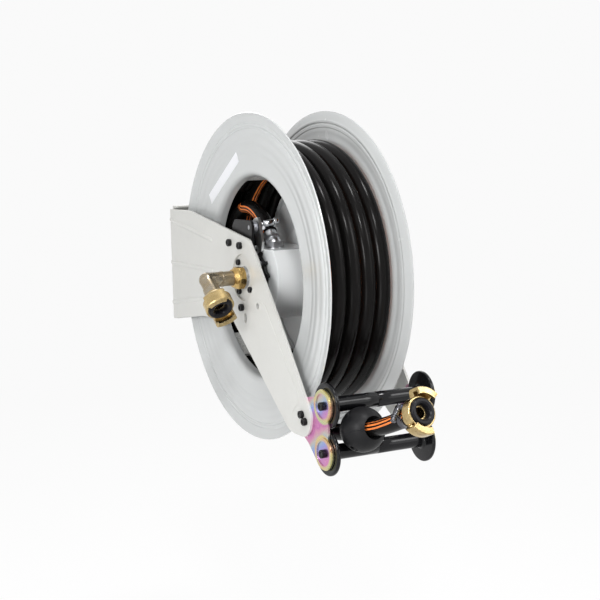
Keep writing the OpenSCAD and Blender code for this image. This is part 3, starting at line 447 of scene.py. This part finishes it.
def makeZinc():
    material, tree, shader = newMaterial("passivatedZinc", Metallic=1.0)
    where = pointOn(tree)
    parts = addNode(tree, "SeparateXYZ", {"Vector": where})
    cloud = addNode(tree, "TexNoise", {"Vector": where, "Scale": zinc["cloudScale"],
                                       "Detail": 2.5, "Distortion": 0.8}).outputs["Fac"]
    tilt = calc(tree, "MULTIPLY_ADD", parts.outputs[2], *zinc["byHeight"])
    depth = calc(tree, "MULTIPLY_ADD", parts.outputs[1], *zinc["byDepth"])
    film = calc(tree, "ADD", calc(tree, "MULTIPLY_ADD", cloud, zinc["bandCloud"], tilt), depth)
    bands = ramp(tree, calc(tree, "FRACT", film), zinc["bands"])
    rimFilm = calc(tree, "MULTIPLY_ADD", cloud, zinc["rimCloud"], tilt)
    rims = ramp(tree, calc(tree, "FRACT", rimFilm), zinc["rims"])
    reaches = []
    for y, z in rollerAxes.values():
        flat = addNode(tree, "CombineXYZ", {1: calc(tree, "SUBTRACT", parts.outputs[1], y * mm),
                                            2: calc(tree, "SUBTRACT", parts.outputs[2], z * mm)})
        reaches.append(vectorCalc(tree, "LENGTH", flat.outputs[0]))
    reach = calc(tree, "MINIMUM", *reaches)
    onRim = calc(tree, "SUBTRACT", mapRange(tree, reach, *zinc["rimFrom"]),
                 mapRange(tree, reach, *zinc["rimTo"]), clamp=True)
    colour = blendColour(tree, calc(tree, "MULTIPLY", onRim, zinc["rimShare"]), bands, rims)
    edges = useGroup(tree, "edgeWear", Radius=0.7 * mm, Start=0.03, Full=0.4)
    tree.links.new(blendColour(tree, edges.outputs[0], colour, rgb(*zinc["worn"])),
                   shader.inputs["Base Color"])
    tree.links.new(calc(tree, "MULTIPLY_ADD", cloud, *zinc["rough"]), shader.inputs["Roughness"])
    lines = useGroup(tree, "turnLines", Across=200.0, Along=160.0)
    addBump(tree, shader, lines.outputs[0], strength=0.12, distance=0.08)
    return material


# Coarse grey paint with dark specks, on the bars under the wound hose
specks = {"scale": 620.0, "share": 0.7, "colour": (0.48, 0.48, 0.47), "shade": (0.36, 0.36, 0.35),
          "stops": [(0.18, (0.10, 0.10, 0.10)), (0.36, (0.42, 0.42, 0.41)),
                    (0.70, (0.62, 0.62, 0.60))]}


def makeSpeckled():
    material, tree, shader = newMaterial("speckledPaint", Roughness=0.6)
    cells = addNode(tree, "TexVoronoi", {"Vector": pointOn(tree), "Scale": specks["scale"]})
    cells = cells.outputs["Distance"]
    base = useGroup(tree, "mottle", Color=rgb(*specks["colour"]), Shade=rgb(*specks["shade"]),
                    Scale=120.0, Amount=0.7)
    tree.links.new(blendColour(tree, specks["share"], base.outputs["Color"],
                               ramp(tree, cells, specks["stops"])), shader.inputs["Base Color"])
    addBump(tree, shader, cells, strength=0.4, distance=0.3)
    return material


hoseRubber = makeHoseRubber()
passivatedZinc = makeZinc()
speckledPaint = makeSpeckled()
print("materials made")


# Mesh tools, all in mm in the row frame; a shape is its points, faces and UVs
def makePiece(name, shape, body, material, replaces=()):
    verts, faces, uvs = shape
    mesh = bpy.data.meshes.new(name)
    mesh.from_pydata([Vector(v) * mm for v in verts], [], faces)
    if uvs:
        layer = mesh.uv_layers.new(name="hoseUv")
        for loop, uv in zip(layer.data, uvs):
            loop.uv = uv
    mesh.polygons.foreach_set("use_smooth", [True] * len(mesh.polygons))
    mesh.materials.append(material)
    piece = addObject(name, mesh)
    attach(piece, body)
    if replaces:
        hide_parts(*replaces)
    return piece


# The faces between rows of points that each go once round
def bridge(rows, sides, closed=False):
    faces = []
    for i in range(rows if closed else rows - 1):
        j = (i + 1) % rows
        for k in range(sides):
            m = (k + 1) % sides
            faces.append((i * sides + k, i * sides + m, j * sides + m, j * sides + k))
    return faces


# The flat faces on the first and the last row
def caps(rows, sides):
    return [tuple(range(sides - 1, -1, -1)), tuple((rows - 1) * sides + k for k in range(sides))]


# A tube as rings of (centre, first axis, second axis, first radius, second radius, turn),
# where turn is the angle in degrees from the first axis to the hose's moulded lines
def tube(rings, sides, closed=False):
    verts, uvs, runs = [], [], [0.0]
    for i, (centre, first, second, ra, rb, turn) in enumerate(rings):
        if i:
            runs.append(runs[-1] + (centre - rings[i - 1][0]).length * mm)
        for k in range(sides):
            angle = math.radians(turn) + math.pi + fullTurn * k / sides
            verts.append(centre + first * ra * math.cos(angle) + second * rb * math.sin(angle))
    if closed:
        runs.append(runs[-1] + (rings[0][0] - rings[-1][0]).length * mm)
    for v0, v1 in zip(runs, runs[1:]):
        for k in range(sides):
            u0, u1 = k / sides, (k + 1) / sides
            uvs += [(u0, v0), (u1, v0), (u1, v1), (u0, v1)]
    faces = bridge(len(rings), sides, closed)
    if not closed:
        faces += caps(len(rings), sides)
        uvs += [(0.02, runs[0])] * sides + [(0.02, runs[-1])] * sides  # clear of the lines
    return verts, faces, uvs


# Round rings along a line, with the first axis as near as can be to a side
def ringsAlong(line, side, radius, turnAt):
    made = []
    for i, point in enumerate(line):
        along = (line[min(len(line) - 1, i + 1)] - line[max(0, i - 1)]).normalized()
        first = (side - along * along.dot(side)).normalized()
        made.append((point, first, first.cross(along), radius, radius,
                     turnAt(i / (len(line) - 1))))
    return made


def joinMeshes(parts):
    verts, faces, uvs = [], [], []
    for v, f, u in parts:
        start = len(verts)
        verts += v
        faces += [tuple(i + start for i in face) for face in f]
        uvs += u
    return verts, faces, uvs


# A closed outline of (radius, height) turned about an axis; place maps (x, y, z) with z along it
def lathe(outline, place, steps=96):
    verts = []
    for k in range(steps):
        a = fullTurn * k / steps
        verts += [place(r * math.cos(a), r * math.sin(a), h) for r, h in outline]
    return verts, bridge(steps, len(outline), closed=True), []


def arc(cr, ch, radius, start, end, steps=5):
    angles = [math.radians(mix(start, end, i / steps)) for i in range(steps + 1)]
    return [(cr + radius * math.cos(a), ch + radius * math.sin(a)) for a in angles]


# A frame at a point, with z along a direction and x as near as can be to a hint
def placer(origin, direction, hint=(0, 0, 1)):
    z = Vector(direction).normalized()
    x = (Vector(hint) - z * z.dot(Vector(hint))).normalized()
    y = z.cross(x)
    origin = Vector(origin)
    return lambda a, b, c: origin + x * a + y * b + z * c


# Smooth points through a route
def through(points, per):
    made = []
    for i in range(len(points) - 1):
        p0, p1 = points[max(0, i - 1)], points[i]
        p2, p3 = points[i + 1], points[min(len(points) - 1, i + 2)]
        for s in range(per):
            t = s / per
            made.append(0.5 * ((2 * p1) + (p2 - p0) * t + (2 * p0 - 5 * p1 + 4 * p2 - p3) * t * t
                               + (3 * p1 - p0 - 3 * p2 + p3) * t ** 3))
    return made + [points[-1]]


# The free hose, from the wound hose through the rollers and the ball; its route is measured
# from the drum's centre
freeHose = {"radius": 10.3, "sides": 32, "perPoint": 5,
            "turnStart": 125, "turnBall": 8, "turnEnd": 16,  # of the moulded lines
            "ball": (0.50, 0.66),
            "route": [(-42.2, -88.3, -168.17), (-42.2, -93, -168.17), (-42, -101, -168.8),
                      (-41.4, -112.2, -170.62), (-40.4, -124.7, -173.5),
                      (-39, -137.4, -176.49), (-37, -152.3, -178.5),
                      (-34.8, -167.1, -178.87), (-32.1, -183.5, -177.7),
                      (-29.4, -200.5, -174.3), (-26, -229, -166.7), (-22.6, -257.5, -159.1),
                      (-21.1, -269.2, -155.64), (-19.5, -282.2, -150.96),
                      (-17.9, -295.1, -145.75), (-16.6, -306.3, -140.98),
                      (-15.4, -317, -136.4)]}


def freeTurn(run):
    start, end = freeHose["ball"]
    turn = mix(freeHose["turnStart"], freeHose["turnBall"], smooth((run - start) / (end - start)))
    return turn + (freeHose["turnEnd"] - freeHose["turnBall"]) * smooth((run - end) / (1 - end))


def makeFreeHose():
    line = through([drumCentre + Vector(p) for p in freeHose["route"]], freeHose["perPoint"])
    tubeRings = ringsAlong(line, nearWay, freeHose["radius"], freeTurn)
    piece = makePiece("freeHose", tube(tubeRings, freeHose["sides"]), "frame", hoseRubber,
                      ["free_hose"])
    return piece, line, sum((b - a).length for a, b in zip(line, line[1:]))


freeHosePiece, freeHoseLine, freeHoseLength = makeFreeHose()
print(f"free hose {freeHoseLength:.1f} mm")

# The wound hose: lanes lie side by side along the drum, and a full layer climbs to the next
winding = {"radius": 10.3, "gap": 0.5, "lanes": 5, "coreRadius": 139.6, "topRadius": 168.173,
           "layerGap": 0.2, "climb": 60, "hold": 240, "step": 5, "sides": 28, "bottom": 90,
           "farLane": (100, 390), "lead": (8, 20, 40, 64, 88)}
# The hose's inner end, from its fitting round a bend into the inner layer
tail = {"lane": -21.1, "riserX": -25.0, "join": 8, "sweep": 135, "bend": 77, "start": 147.273,
        "centre": Vector((0, 69.589, 9.780)), "end": Vector((0, 15.142, 64.227)),
        "straight": (12, 8, 4), "bendRings": 36, "laneRings": 65, "easeRings": 6}
# Turn of the moulded lines, from outward towards the inlet side, and where it changes
lineTurns = {"hidden": 270, "nearFront": 98, "nearTop": 110, "lead": 215, "inside": 180,
             "tail": 88, "away": -90, "topFrom": 170, "topOver": 60, "frontFrom": -480,
             "frontOver": 90, "leadFrom": -130, "leadOver": 110, "farFrom": 290, "farOver": 90,
             "tailFrom": 0.4, "tailOver": 0.2, "laneOver": 10}
pitch = 2 * winding["radius"] + winding["gap"]
lastLane = (winding["lanes"] - 1) / 2 * pitch
layerTop = winding["topRadius"] - winding["radius"] - winding["layerGap"]
layerFlat = (layerTop - winding["coreRadius"]) / 2  # half height of the pressed inner hose
layerRadius = winding["coreRadius"] + layerFlat
outerRun = (winding["lanes"] - 1) * 360 + winding["climb"]  # degrees of the outer layer


# A ring of wound hose at lane x and angle w, which runs from the wall's way downward
def woundRing(x, w, radius, high, turn):
    out = wayAt(-w)
    return (drumCentre + Vector((x, 0, 0)) + out * radius, out, nearWay, high,
            winding["radius"], turn)


def outerTurn(a):
    t = lineTurns
    near = mix(t["nearFront"], t["nearTop"], smooth((a % 360 - t["topFrom"]) / t["topOver"]))
    beforeEnd = a - outerRun
    turn = mix(t["hidden"], near, smooth((beforeEnd - t["frontFrom"]) / t["frontOver"]))
    return mix(turn, t["lead"], smooth((beforeEnd - t["leadFrom"]) / t["leadOver"]))


def outerRing(a):
    climb, hold = winding["climb"], winding["hold"]
    rise = smooth(a / climb)
    lane = math.floor(a / 360) + max(0.0, a % 360 - hold) / (360 - hold)
    return woundRing(lastLane - pitch * lane, winding["bottom"] - climb + a,
                     mix(layerRadius, winding["topRadius"], rise),
                     mix(layerFlat, winding["radius"], rise), outerTurn(a))


# The tail's straight, its bend and its turn in the inner layer
def tailRings():
    radius, out = winding["radius"], wayAt(tail["sweep"])
    start = drumCentre + tail["end"] + Vector((tail["riserX"], 0, 0))
    made = [(start - wayAt(tail["sweep"] - 90) * s, out, nearWay, radius, radius,
             lineTurns["tail"]) for s in tail["straight"]]
    for i in range(tail["bendRings"]):
        t = 1 - i / tail["bendRings"]
        out = wayAt(mix(tail["join"], tail["sweep"], t))
        x = mix(tail["lane"], tail["riserX"], smooth(2 * t - 1))
        turn = mix(lineTurns["away"], lineTurns["tail"],
                   smooth((t - lineTurns["tailFrom"]) / lineTurns["tailOver"]))
        made.append((drumCentre + tail["centre"] + out * tail["bend"] + Vector((x, 0, 0)), out,
                     nearWay, radius, radius, turn))
    for i in range(tail["laneRings"]):
        ease = smooth(i / tail["easeRings"])
        made.append(woundRing(tail["lane"], winding["step"] * i - tail["join"],
                              mix(tail["start"], layerRadius, ease),
                              mix(radius, layerFlat, ease),
                              mix(lineTurns["away"], 0, smooth(i / lineTurns["laneOver"]))))
    return made


# The far lane, the climb to the outer layer and its turns, ending in the lead
def outerRings():
    step, radius, t = winding["step"], winding["radius"], lineTurns
    made = [woundRing(lastLane, w, layerRadius, layerFlat,
                      mix(360, t["hidden"], smooth((w - t["farFrom"]) / t["farOver"])))
            for w in range(*winding["farLane"], step)]
    made += [outerRing(a) for a in range(0, outerRun + 1, step)]
    bottom = made[-1][0]
    return made + [(bottom - Vector((0, y, 0)), wayAt(-winding["bottom"]), nearWay, radius,
                    radius, t["lead"]) for y in winding["lead"]]


def makeWinding():
    parts = []
    for x, turn in ((-lastLane, 0), (0.0, lineTurns["inside"]), (pitch, 0)):
        lane = [woundRing(x, w, layerRadius, layerFlat, turn)
                for w in range(0, 360, winding["step"])]
        parts.append(tube(lane, winding["sides"], closed=True))
    parts += [tube(tailRings(), winding["sides"]), tube(outerRings(), winding["sides"])]
    makePiece("woundHose", joinMeshes(parts), "drum", hoseRubber,
              ["hose_inner_layer", "hose_outer_layer", "hose_tail"])


makeWinding()
print("wound hose made")

# The tie round the far turn, at an angle along the outer layer
tie = {"angle": 292, "half": 2.6, "thick": 0.5, "lift": 0.06, "edge": (0.15, 0.2), "steps": 64}


def makeTie():
    centre, out = outerRing(tie["angle"])[:2]
    ahead = outerRing(tie["angle"] + 1)[0] - outerRing(tie["angle"] - 1)[0]
    inner = winding["radius"] + tie["lift"]
    outer, half, (slope, drop) = inner + tie["thick"], tie["half"], tie["edge"]
    outline = [(inner, -half), (outer - slope, -half), (outer, drop - half),
               (outer, half - drop), (outer - slope, half), (inner, half)]
    makePiece("hoseTie", lathe(outline, placer(centre, ahead, out), tie["steps"]), "drum",
              sealRubber)


makeTie()


# How far out a hexagon's side is at an angle, as a share of its corner's reach
def hexShare(a):
    return math.cos(math.pi / 6) / math.cos(a % (math.pi / 3) - math.pi / 6)


# Rows of points round place's z, each of (reach, height), where a reach may be a function
def rowPoints(place, rows, sides):
    verts = []
    for reach, h in rows:
        for k in range(sides):
            a = fullTurn * k / sides
            r = reach(a) if callable(reach) else reach
            verts.append(place(r * math.cos(a), r * math.sin(a), h))
    return verts


# Socket screws: radius and height of the head, radius and length of the shank, key
screwSizes = {"carrier": (4.8, 4.8, 2.95, 6.5, 5), "tip": (4.8, 4.8, 2.95, 9.5, 5),
              "pin": (5.2, 4.5, 4, 150.5, 5), "ear": (4.8, 4.8, 2.95, 10, 5),
              "flange": (4, 4, 2.45, 7.5, 4)}
screwShape = {"sides": 48, "under": (0.15, 0.25), "crown": [(0.0, 0.55), (0.2, 0.15), (0.6, 0.0)],
              "mouth": 0.25, "socketFloor": 0.42}
# Hexagon nuts: width across flats, height, radius of the bore
nutSizes = {"tip": (10, 4, 3.05), "pin": (13, 6.5, 4.02), "wormHead": (7.0, 4.5, 1.2)}
nutShape = {"sides": 72, "face": 0.2, "chamfer": 0.55, "corner": 0.35}


# The origin lies under the head, with z out of it
def socketScrew(origin, direction, kind, hint=(0, 0, 1)):
    s = screwShape
    headR, headH, shankR, shank, key = screwSizes[kind]
    rows = [(shankR, -shank), (shankR, 0.0), (headR - s["under"][0], 0.0),
            (headR, s["under"][1])]
    rows += [(headR - inset, headH - drop) for inset, drop in s["crown"]]
    flat = key / math.sqrt(3)
    rows.append((lambda a: flat * hexShare(a) + s["mouth"], headH))
    rows += [(lambda a: flat * hexShare(a), h)
             for h in (headH - s["mouth"], headH * s["socketFloor"])]
    return (rowPoints(placer(origin, direction, hint), rows, s["sides"]),
            bridge(len(rows), s["sides"]) + caps(len(rows), s["sides"]), [])


def hexNut(origin, direction, kind, hint=(0, 0, 1)):
    s = nutShape
    across, high, bore = nutSizes[kind]
    corner, face = across / math.sqrt(3), across / 2 - s["face"]

    def side(a):
        return min(corner * hexShare(a), corner - s["corner"])

    rows = [(bore, 0.0), (face, 0.0), (side, s["chamfer"]), (side, high - s["chamfer"]),
            (face, high), (bore, high)]
    return (rowPoints(placer(origin, direction, hint), rows, s["sides"]),
            bridge(len(rows), s["sides"], closed=True), [])


# Places of the screws; y and z are measured from the drum's axis
fasteners = {"frameHalf": 76.5, "frameIn": 73.5, "nutFace": 70.5, "pinInset": 3,
             "carrier": [(3, 42), (2, -40)], "tip": [(-159, -155.5), (-167, -163)],
             "ear": (35, 44), "flangeAngles": [52, -55, -142], "flangeR": 24}


# The last argument of each screw and nut turns its hexagon
def makeFasteners():
    f = fasteners
    outer = f["frameHalf"]
    carrier, tips, pins, flange = [], [], [], []
    for side, away in ((-1, nearWay), (1, farWay)):
        for y, z in f["carrier"]:
            carrier.append(socketScrew((side * outer, axisY + y, z), away, "carrier"))
        for n, (y, z) in enumerate(f["tip"]):
            tips.append(socketScrew((side * outer, axisY + y, z), away, "tip", (0, 1, n)))
            tips.append(hexNut((side * f["nutFace"], axisY + y, z), -away, "tip", (0, n, 1)))
    for n, (y, z) in enumerate(rollerAxes.values()):
        x = outer - f["pinInset"]
        pins.append(socketScrew((-x, y, z), nearWay, "pin", (0, 1, 1 + n)))
        pins.append(hexNut((x, y, z), farWay, "pin", (0, 1, 2 - n)))
    y, z = f["ear"]
    ear = [socketScrew((-outer, axisY + y, z), nearWay, "ear")]
    for a in f["flangeAngles"]:
        spot = Vector((-f["frameIn"], axisY, 0)) + wayAt(a) * f["flangeR"]
        flange.append(socketScrew(spot, nearWay, "flange", (0, 1, a)))
    for name, parts, node in (("carrierScrews", carrier, "carrier_bolts"),
                              ("tipScrews", tips, "guide_bolts"),
                              ("rollerPins", pins, "roller_pins"),
                              ("pawlScrew", ear, "pawl_bolt"),
                              ("flangeScrews", flange, "spindle_bolts")):
        makePiece(name, joinMeshes(parts), "frame", blackOxide, [node])


makeFasteners()
print("fasteners made")

# Each roller is two halves that meet in a seam, with a disc at each end
roller = {"bore": 4.06, "barrel": 9.5, "disc": 28.0, "end": 70.0, "discThick": 5.0,
          "fillet": 4.0, "outerEdge": 2, "innerEdge": 1.8, "steps": 120,
          "recess": [(9, 0), (10, 0.5), (21, 0.5), (22, 0)], "barrelRows": (40, 20, 0.45),
          "seam": [(0.3, 0.12), (0.9, 0.1)]}


def makeRollers():
    r = roller
    end, inner = r["end"], r["end"] - r["discThick"]
    rim, back, fillet = r["outerEdge"], r["innerEdge"], r["fillet"]
    half = ([(r["bore"], -end)] + [(reach, deep - end) for reach, deep in r["recess"]]
            + arc(r["disc"] - rim, rim - end, rim, -90, 0)
            + arc(r["disc"] - back, -inner - back, back, 0, 90)
            + arc(r["barrel"] + fillet, fillet - inner, fillet, -90, -180, steps=8)
            + [(r["barrel"], -h) for h in r["barrelRows"]]
            + [(r["barrel"] - deep, -h) for deep, h in r["seam"]])
    outline = half + [(a, -h) for a, h in reversed(half)]
    for name, (y, z) in rollerAxes.items():
        place = placer((0, y, z), farWay)
        makePiece(name + "Roller", lathe(outline, place, r["steps"]), name + "_roller",
                  rollerPlastic, [name + "_roller"])


makeRollers()

# The worm-drive clamps: a band with raised lips, a housing and a worm across its top
clamp = {"inner": 10.36, "thick": 0.8, "half": 4.5, "lip": 0.3, "lipWide": 0.5, "lipFoot": 0.8,
         "wormOut": 14.4, "arch": (3.7, 4.4), "archFoot": 5.2, "archSink": 0.2, "archStep": 18,
         "archRows": [(-6.5, 0.94), (-6.2, 1.0), (6.2, 1.0), (6.5, 0.94)], "archMiddle": 1,
         "wormTip": [(0.01, -10.5), (2.2, -10.5), (2.7, -10.0), (2.7, -6.6)],
         "thread": [(2.2, -6.4), (2.8, -5.9)], "threads": 9, "threadPitch": 1.4,
         "collar": [(2.8, 7.2), (4.4, 7.4), (4.7, 7.8), (4.7, 8.6), (4.4, 9.0), (0.01, 9.0)],
         # how far each clamp sits behind the hose's end, and the way to its worm
         "tail": (5.5, (-0.25, -0.7, 0.7)), "outlet": (7.5, (-0.75, 0, 0.65))}


# A clamp centred on place's origin round its z; the worm lies across the x side
def clampShape(place):
    c = clamp
    inner, half, worm = c["inner"], c["half"], c["wormOut"]
    flat = inner + c["thick"]
    lip = flat + c["lip"]
    band = [(inner, -half), (lip, -half), (lip, c["lipWide"] - half), (flat, c["lipFoot"] - half)]
    band += [(r, -h) for r, h in reversed(band)]
    sink, (wide, high) = flat - c["archSink"], c["arch"]
    arch = [(sink, -c["archFoot"]), (sink, c["archFoot"])]
    arch += [(worm + wide * math.sin(math.radians(s)), high * math.cos(math.radians(s)))
             for s in range(0, 181, c["archStep"])]
    housing = [place(mix(worm - c["archMiddle"], x, grow), y, z * grow)
               for y, grow in c["archRows"] for x, z in arch]
    rows = len(c["archRows"])

    def across(a, b, h):
        return place(worm + a, h, b)

    outline = c["wormTip"] + [(r, h + i * c["threadPitch"]) for i in range(c["threads"])
                              for r, h in c["thread"]] + c["collar"]
    head = hexNut(across(0, 0, c["collar"][-1][1]), across(0, 0, 1) - across(0, 0, 0),
                  "wormHead")
    return joinMeshes([lathe(band, place, steps=72),
                       (housing, bridge(rows, len(arch)) + caps(rows, len(arch)), []),
                       lathe(outline, across, steps=40), head])


def makeClamp(name, end, along, kind, body, material, node):
    behind, wormWay = clamp[kind]
    place = placer(drumCentre + end - along * behind, along, wormWay)
    return makePiece(name, clampShape(place), body, material, [node])


makeClamp("tailClamp", tail["end"] + Vector((tail["riserX"], 0, 0)), wayAt(tail["sweep"] - 90),
          "tail", "drum", chrome, "tail_clamp")
lastPoint, pointBefore = Vector(freeHose["route"][-1]), Vector(freeHose["route"][-2])
# The outlet clamp takes the darkened chrome, as painted shade
outletClamp = makeClamp("outletClamp", lastPoint, (lastPoint - pointBefore).normalized(),
                        "outlet", "frame", chromeWithPaintedShade, "outlet_clamp")
print("rollers and clamps made")

# The small coil spring of the pawl, from one end of its node's box to the other
pawlSpring = {"wire": 0.7, "coil": 8.2, "curls": 4, "at": (-8, 66), "steps": 24, "sides": 10}


def makePawlSpring():
    s = pawlSpring
    low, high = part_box("pawl_spring")
    start, end = low.x / mm + s["wire"], high.x / mm - s["wire"]
    middleY, middleZ = axisY + s["at"][0], s["at"][1]
    count = s["curls"] * s["steps"]
    line = [Vector((mix(start, end, i / count), middleY, middleZ))
            + wayAt(360 * i / s["steps"]) * s["coil"] for i in range(count + 1)]
    tubeRings = ringsAlong(line, farWay, s["wire"], lambda run: 0)
    makePiece("pawlSpring", tube(tubeRings, s["sides"]), "frame", springSteel,
              ["pawl_spring"])


makePawlSpring()

# The nodes that are carried over: finish, rounding of their edges in mm, names
finishes = [
    (framePaint, 0.5, ["back_plate", "near_side_frame", "far_side_frame", "near_carrier",
                       "far_carrier"]),
    (drumPaint, 0.2, ["near_flange", "far_flange"]), (drumPaint, 0.4, ["spring_case"]),
    # the hub's lightened paint is painted light
    (hubPaintWithPaintedLight, 0.4, ["hub_housing", "hub_dish"]),
    (speckledPaint, 0.3, ["flange_spacers"]),
    (turnedSteel, 0.35, ["spindle", "hub_tube", "outlet_riser", "spindle_nut", "pawl_pin",
                         "ratchet_screws", "case_screws", "ball_screws"]),
    (blackPaint, 0.45, ["pawl_bracket", "ratchet_wheel"]),
    (platedSteel, 0.35, ["pawl"]),
    (springSteel, 0.1, ["power_spring"]),
    (brassMetal, 0.35, ["union_nut"]),
    (castBrass, 0.5, ["inlet_coupling", "outlet_coupling"]),
    (wornNickel, 0.4, ["inlet_elbow"]),
    (bronze, 0.3, ["bearing_bushes"]),
    (sealRubber, 0.3, ["swivel_seals", "inlet_seal", "outlet_seal"]),
    (satinChrome, 0.35, ["tail_fitting"]),
    (passivatedZinc, 0.45, ["near_guide_plate", "far_guide_plate"]),
    (ballRubber, 0.5, ["stopper_ball"]),
    (labelFilm, 0.08, ["label"]),
]
edgeRound = {"segments": 2, "angle": 24, "weld": 1e-6}


def dress(node, material, rounding):
    piece = nodes[node]
    mesh = piece.data
    mesh.polygons.foreach_set("use_smooth", [True] * len(mesh.polygons))
    for name in ("custom_normal", "sharp_edge", "sharp_face"):
        if name in mesh.attributes:
            mesh.attributes.remove(mesh.attributes[name])
    mesh.materials.clear()
    mesh.materials.append(material)
    weld = piece.modifiers.new("weld", "WELD")
    weld.merge_threshold = edgeRound["weld"]
    bevel = piece.modifiers.new("roundedEdges", "BEVEL")
    bevel.width = rounding * mm
    bevel.segments = edgeRound["segments"]
    bevel.limit_method = "ANGLE"
    bevel.angle_limit = math.radians(edgeRound["angle"])
    bevel.miter_outer = "MITER_ARC"
    bevel.use_clamp_overlap = True
    bevel.harden_normals = True


for material, rounding, names in finishes:
    for node in names:
        dress(node, material, rounding)
print("carried-over pieces dressed")

# The floor, the backdrop and the light, in m
studio = {"floorZ": -0.62, "floorHalf": 7.0, "floor": (0.93, 0.93, 0.93), "world": 0.42,
          "background": (0.955, 0.955, 0.955), "nearFloor": (1.0, 1.0, 1.0),
          "seen": (0.86, 1.0), "fade": (0.9, 2.6), "aim": (0, -0.28, 0.0)}
# Each lamp's name, place, width across in m and power in W
lamps = [("keyLamp", (-0.9, -2.0, 1.75), 0.4, 20), ("topLamp", (0.1, -1.1, 2.5), 0.5, 24),
         ("sideLamp", (-2.4, -1.1, 0.9), 1.2, 8), ("frontLamp", (1.3, -2.4, 0.4), 1.3, 4),
         ("streakLamp", (1.2, -1.6, 1.0), 0.8, 9), ("backLamp", (0.9, 1.9, 1.4), 1.6, 16),
         ("openingLamp", (-1.0, -1.0, 0.30), 0.35, 6), ("lowLamp", (-1.3, -1.3, -0.50), 0.8, 4)]


# 1 where a surface is seen straight or in metal and glass, 0 where it only lights others
def seenMask(tree):
    light = addNode(tree, "LightPath")
    return calc(tree, "MAXIMUM", light.outputs["Is Camera Ray"],
                calc(tree, "MAXIMUM", light.outputs["Is Glossy Ray"],
                     light.outputs["Is Transmission Ray"]))


def makeFloor():
    half, z = studio["floorHalf"], studio["floorZ"]
    mesh = bpy.data.meshes.new("floor")
    mesh.from_pydata([(-half, -half, z), (half, -half, z), (half, half, z), (-half, half, z)],
                     [], [(0, 1, 2, 3)])
    floor = addObject("floor", mesh)
    material, tree, shader = newMaterial("floorPaper", Roughness=0.9, Specular_IOR_Level=0.0,
                                         Base_Color=rgb(*studio["floor"]))
    away = vectorCalc(tree, "DISTANCE", pointOn(tree), (0, axisY * mm, z))
    far = mapRange(tree, away, *studio["fade"])
    paper = blendColour(tree, far, rgb(*studio["nearFloor"]), rgb(*studio["background"]))
    glow = addNode(tree, "Emission", {"Color": paper, "Strength": 1.0})
    share = addNode(tree, "MapRange", {"Value": far, "To Min": studio["seen"][0],
                                       "To Max": studio["seen"][1]}).outputs[0]
    seen = calc(tree, "MULTIPLY", seenMask(tree), share)
    both = addNode(tree, "MixShader", {0: seen, 1: shader.outputs[0], 2: glow.outputs[0]})
    tree.links.new(both.outputs[0], tree.nodes["Material Output"].inputs["Surface"])
    mesh.materials.append(material)


def makeWorld():
    world = bpy.data.worlds.new("studio")
    world.use_nodes = True
    bpy.context.scene.world = world
    tree = world.node_tree
    back = tree.nodes["Background"]
    strength = addNode(tree, "Mix", {0: seenMask(tree), 2: studio["world"], 3: 1.0},
                       data_type="FLOAT")
    tree.links.new(strength.outputs[0], back.inputs["Strength"])
    back.inputs["Color"].default_value = rgb(*studio["background"])


def makeLamps():
    for name, place, width, power in lamps:
        data = bpy.data.lights.new(name, "AREA")
        data.shape = "DISK"
        data.size = width
        data.energy = power
        lamp = addObject(name, data)
        lamp.location = place
        aim = Vector(studio["aim"]) - Vector(place)
        lamp.rotation_euler = aim.to_track_quat("-Z", "Y").to_euler()


makeFloor()
makeWorld()
makeLamps()
bpy.context.scene.view_settings.view_transform = "Standard"
print("studio made")
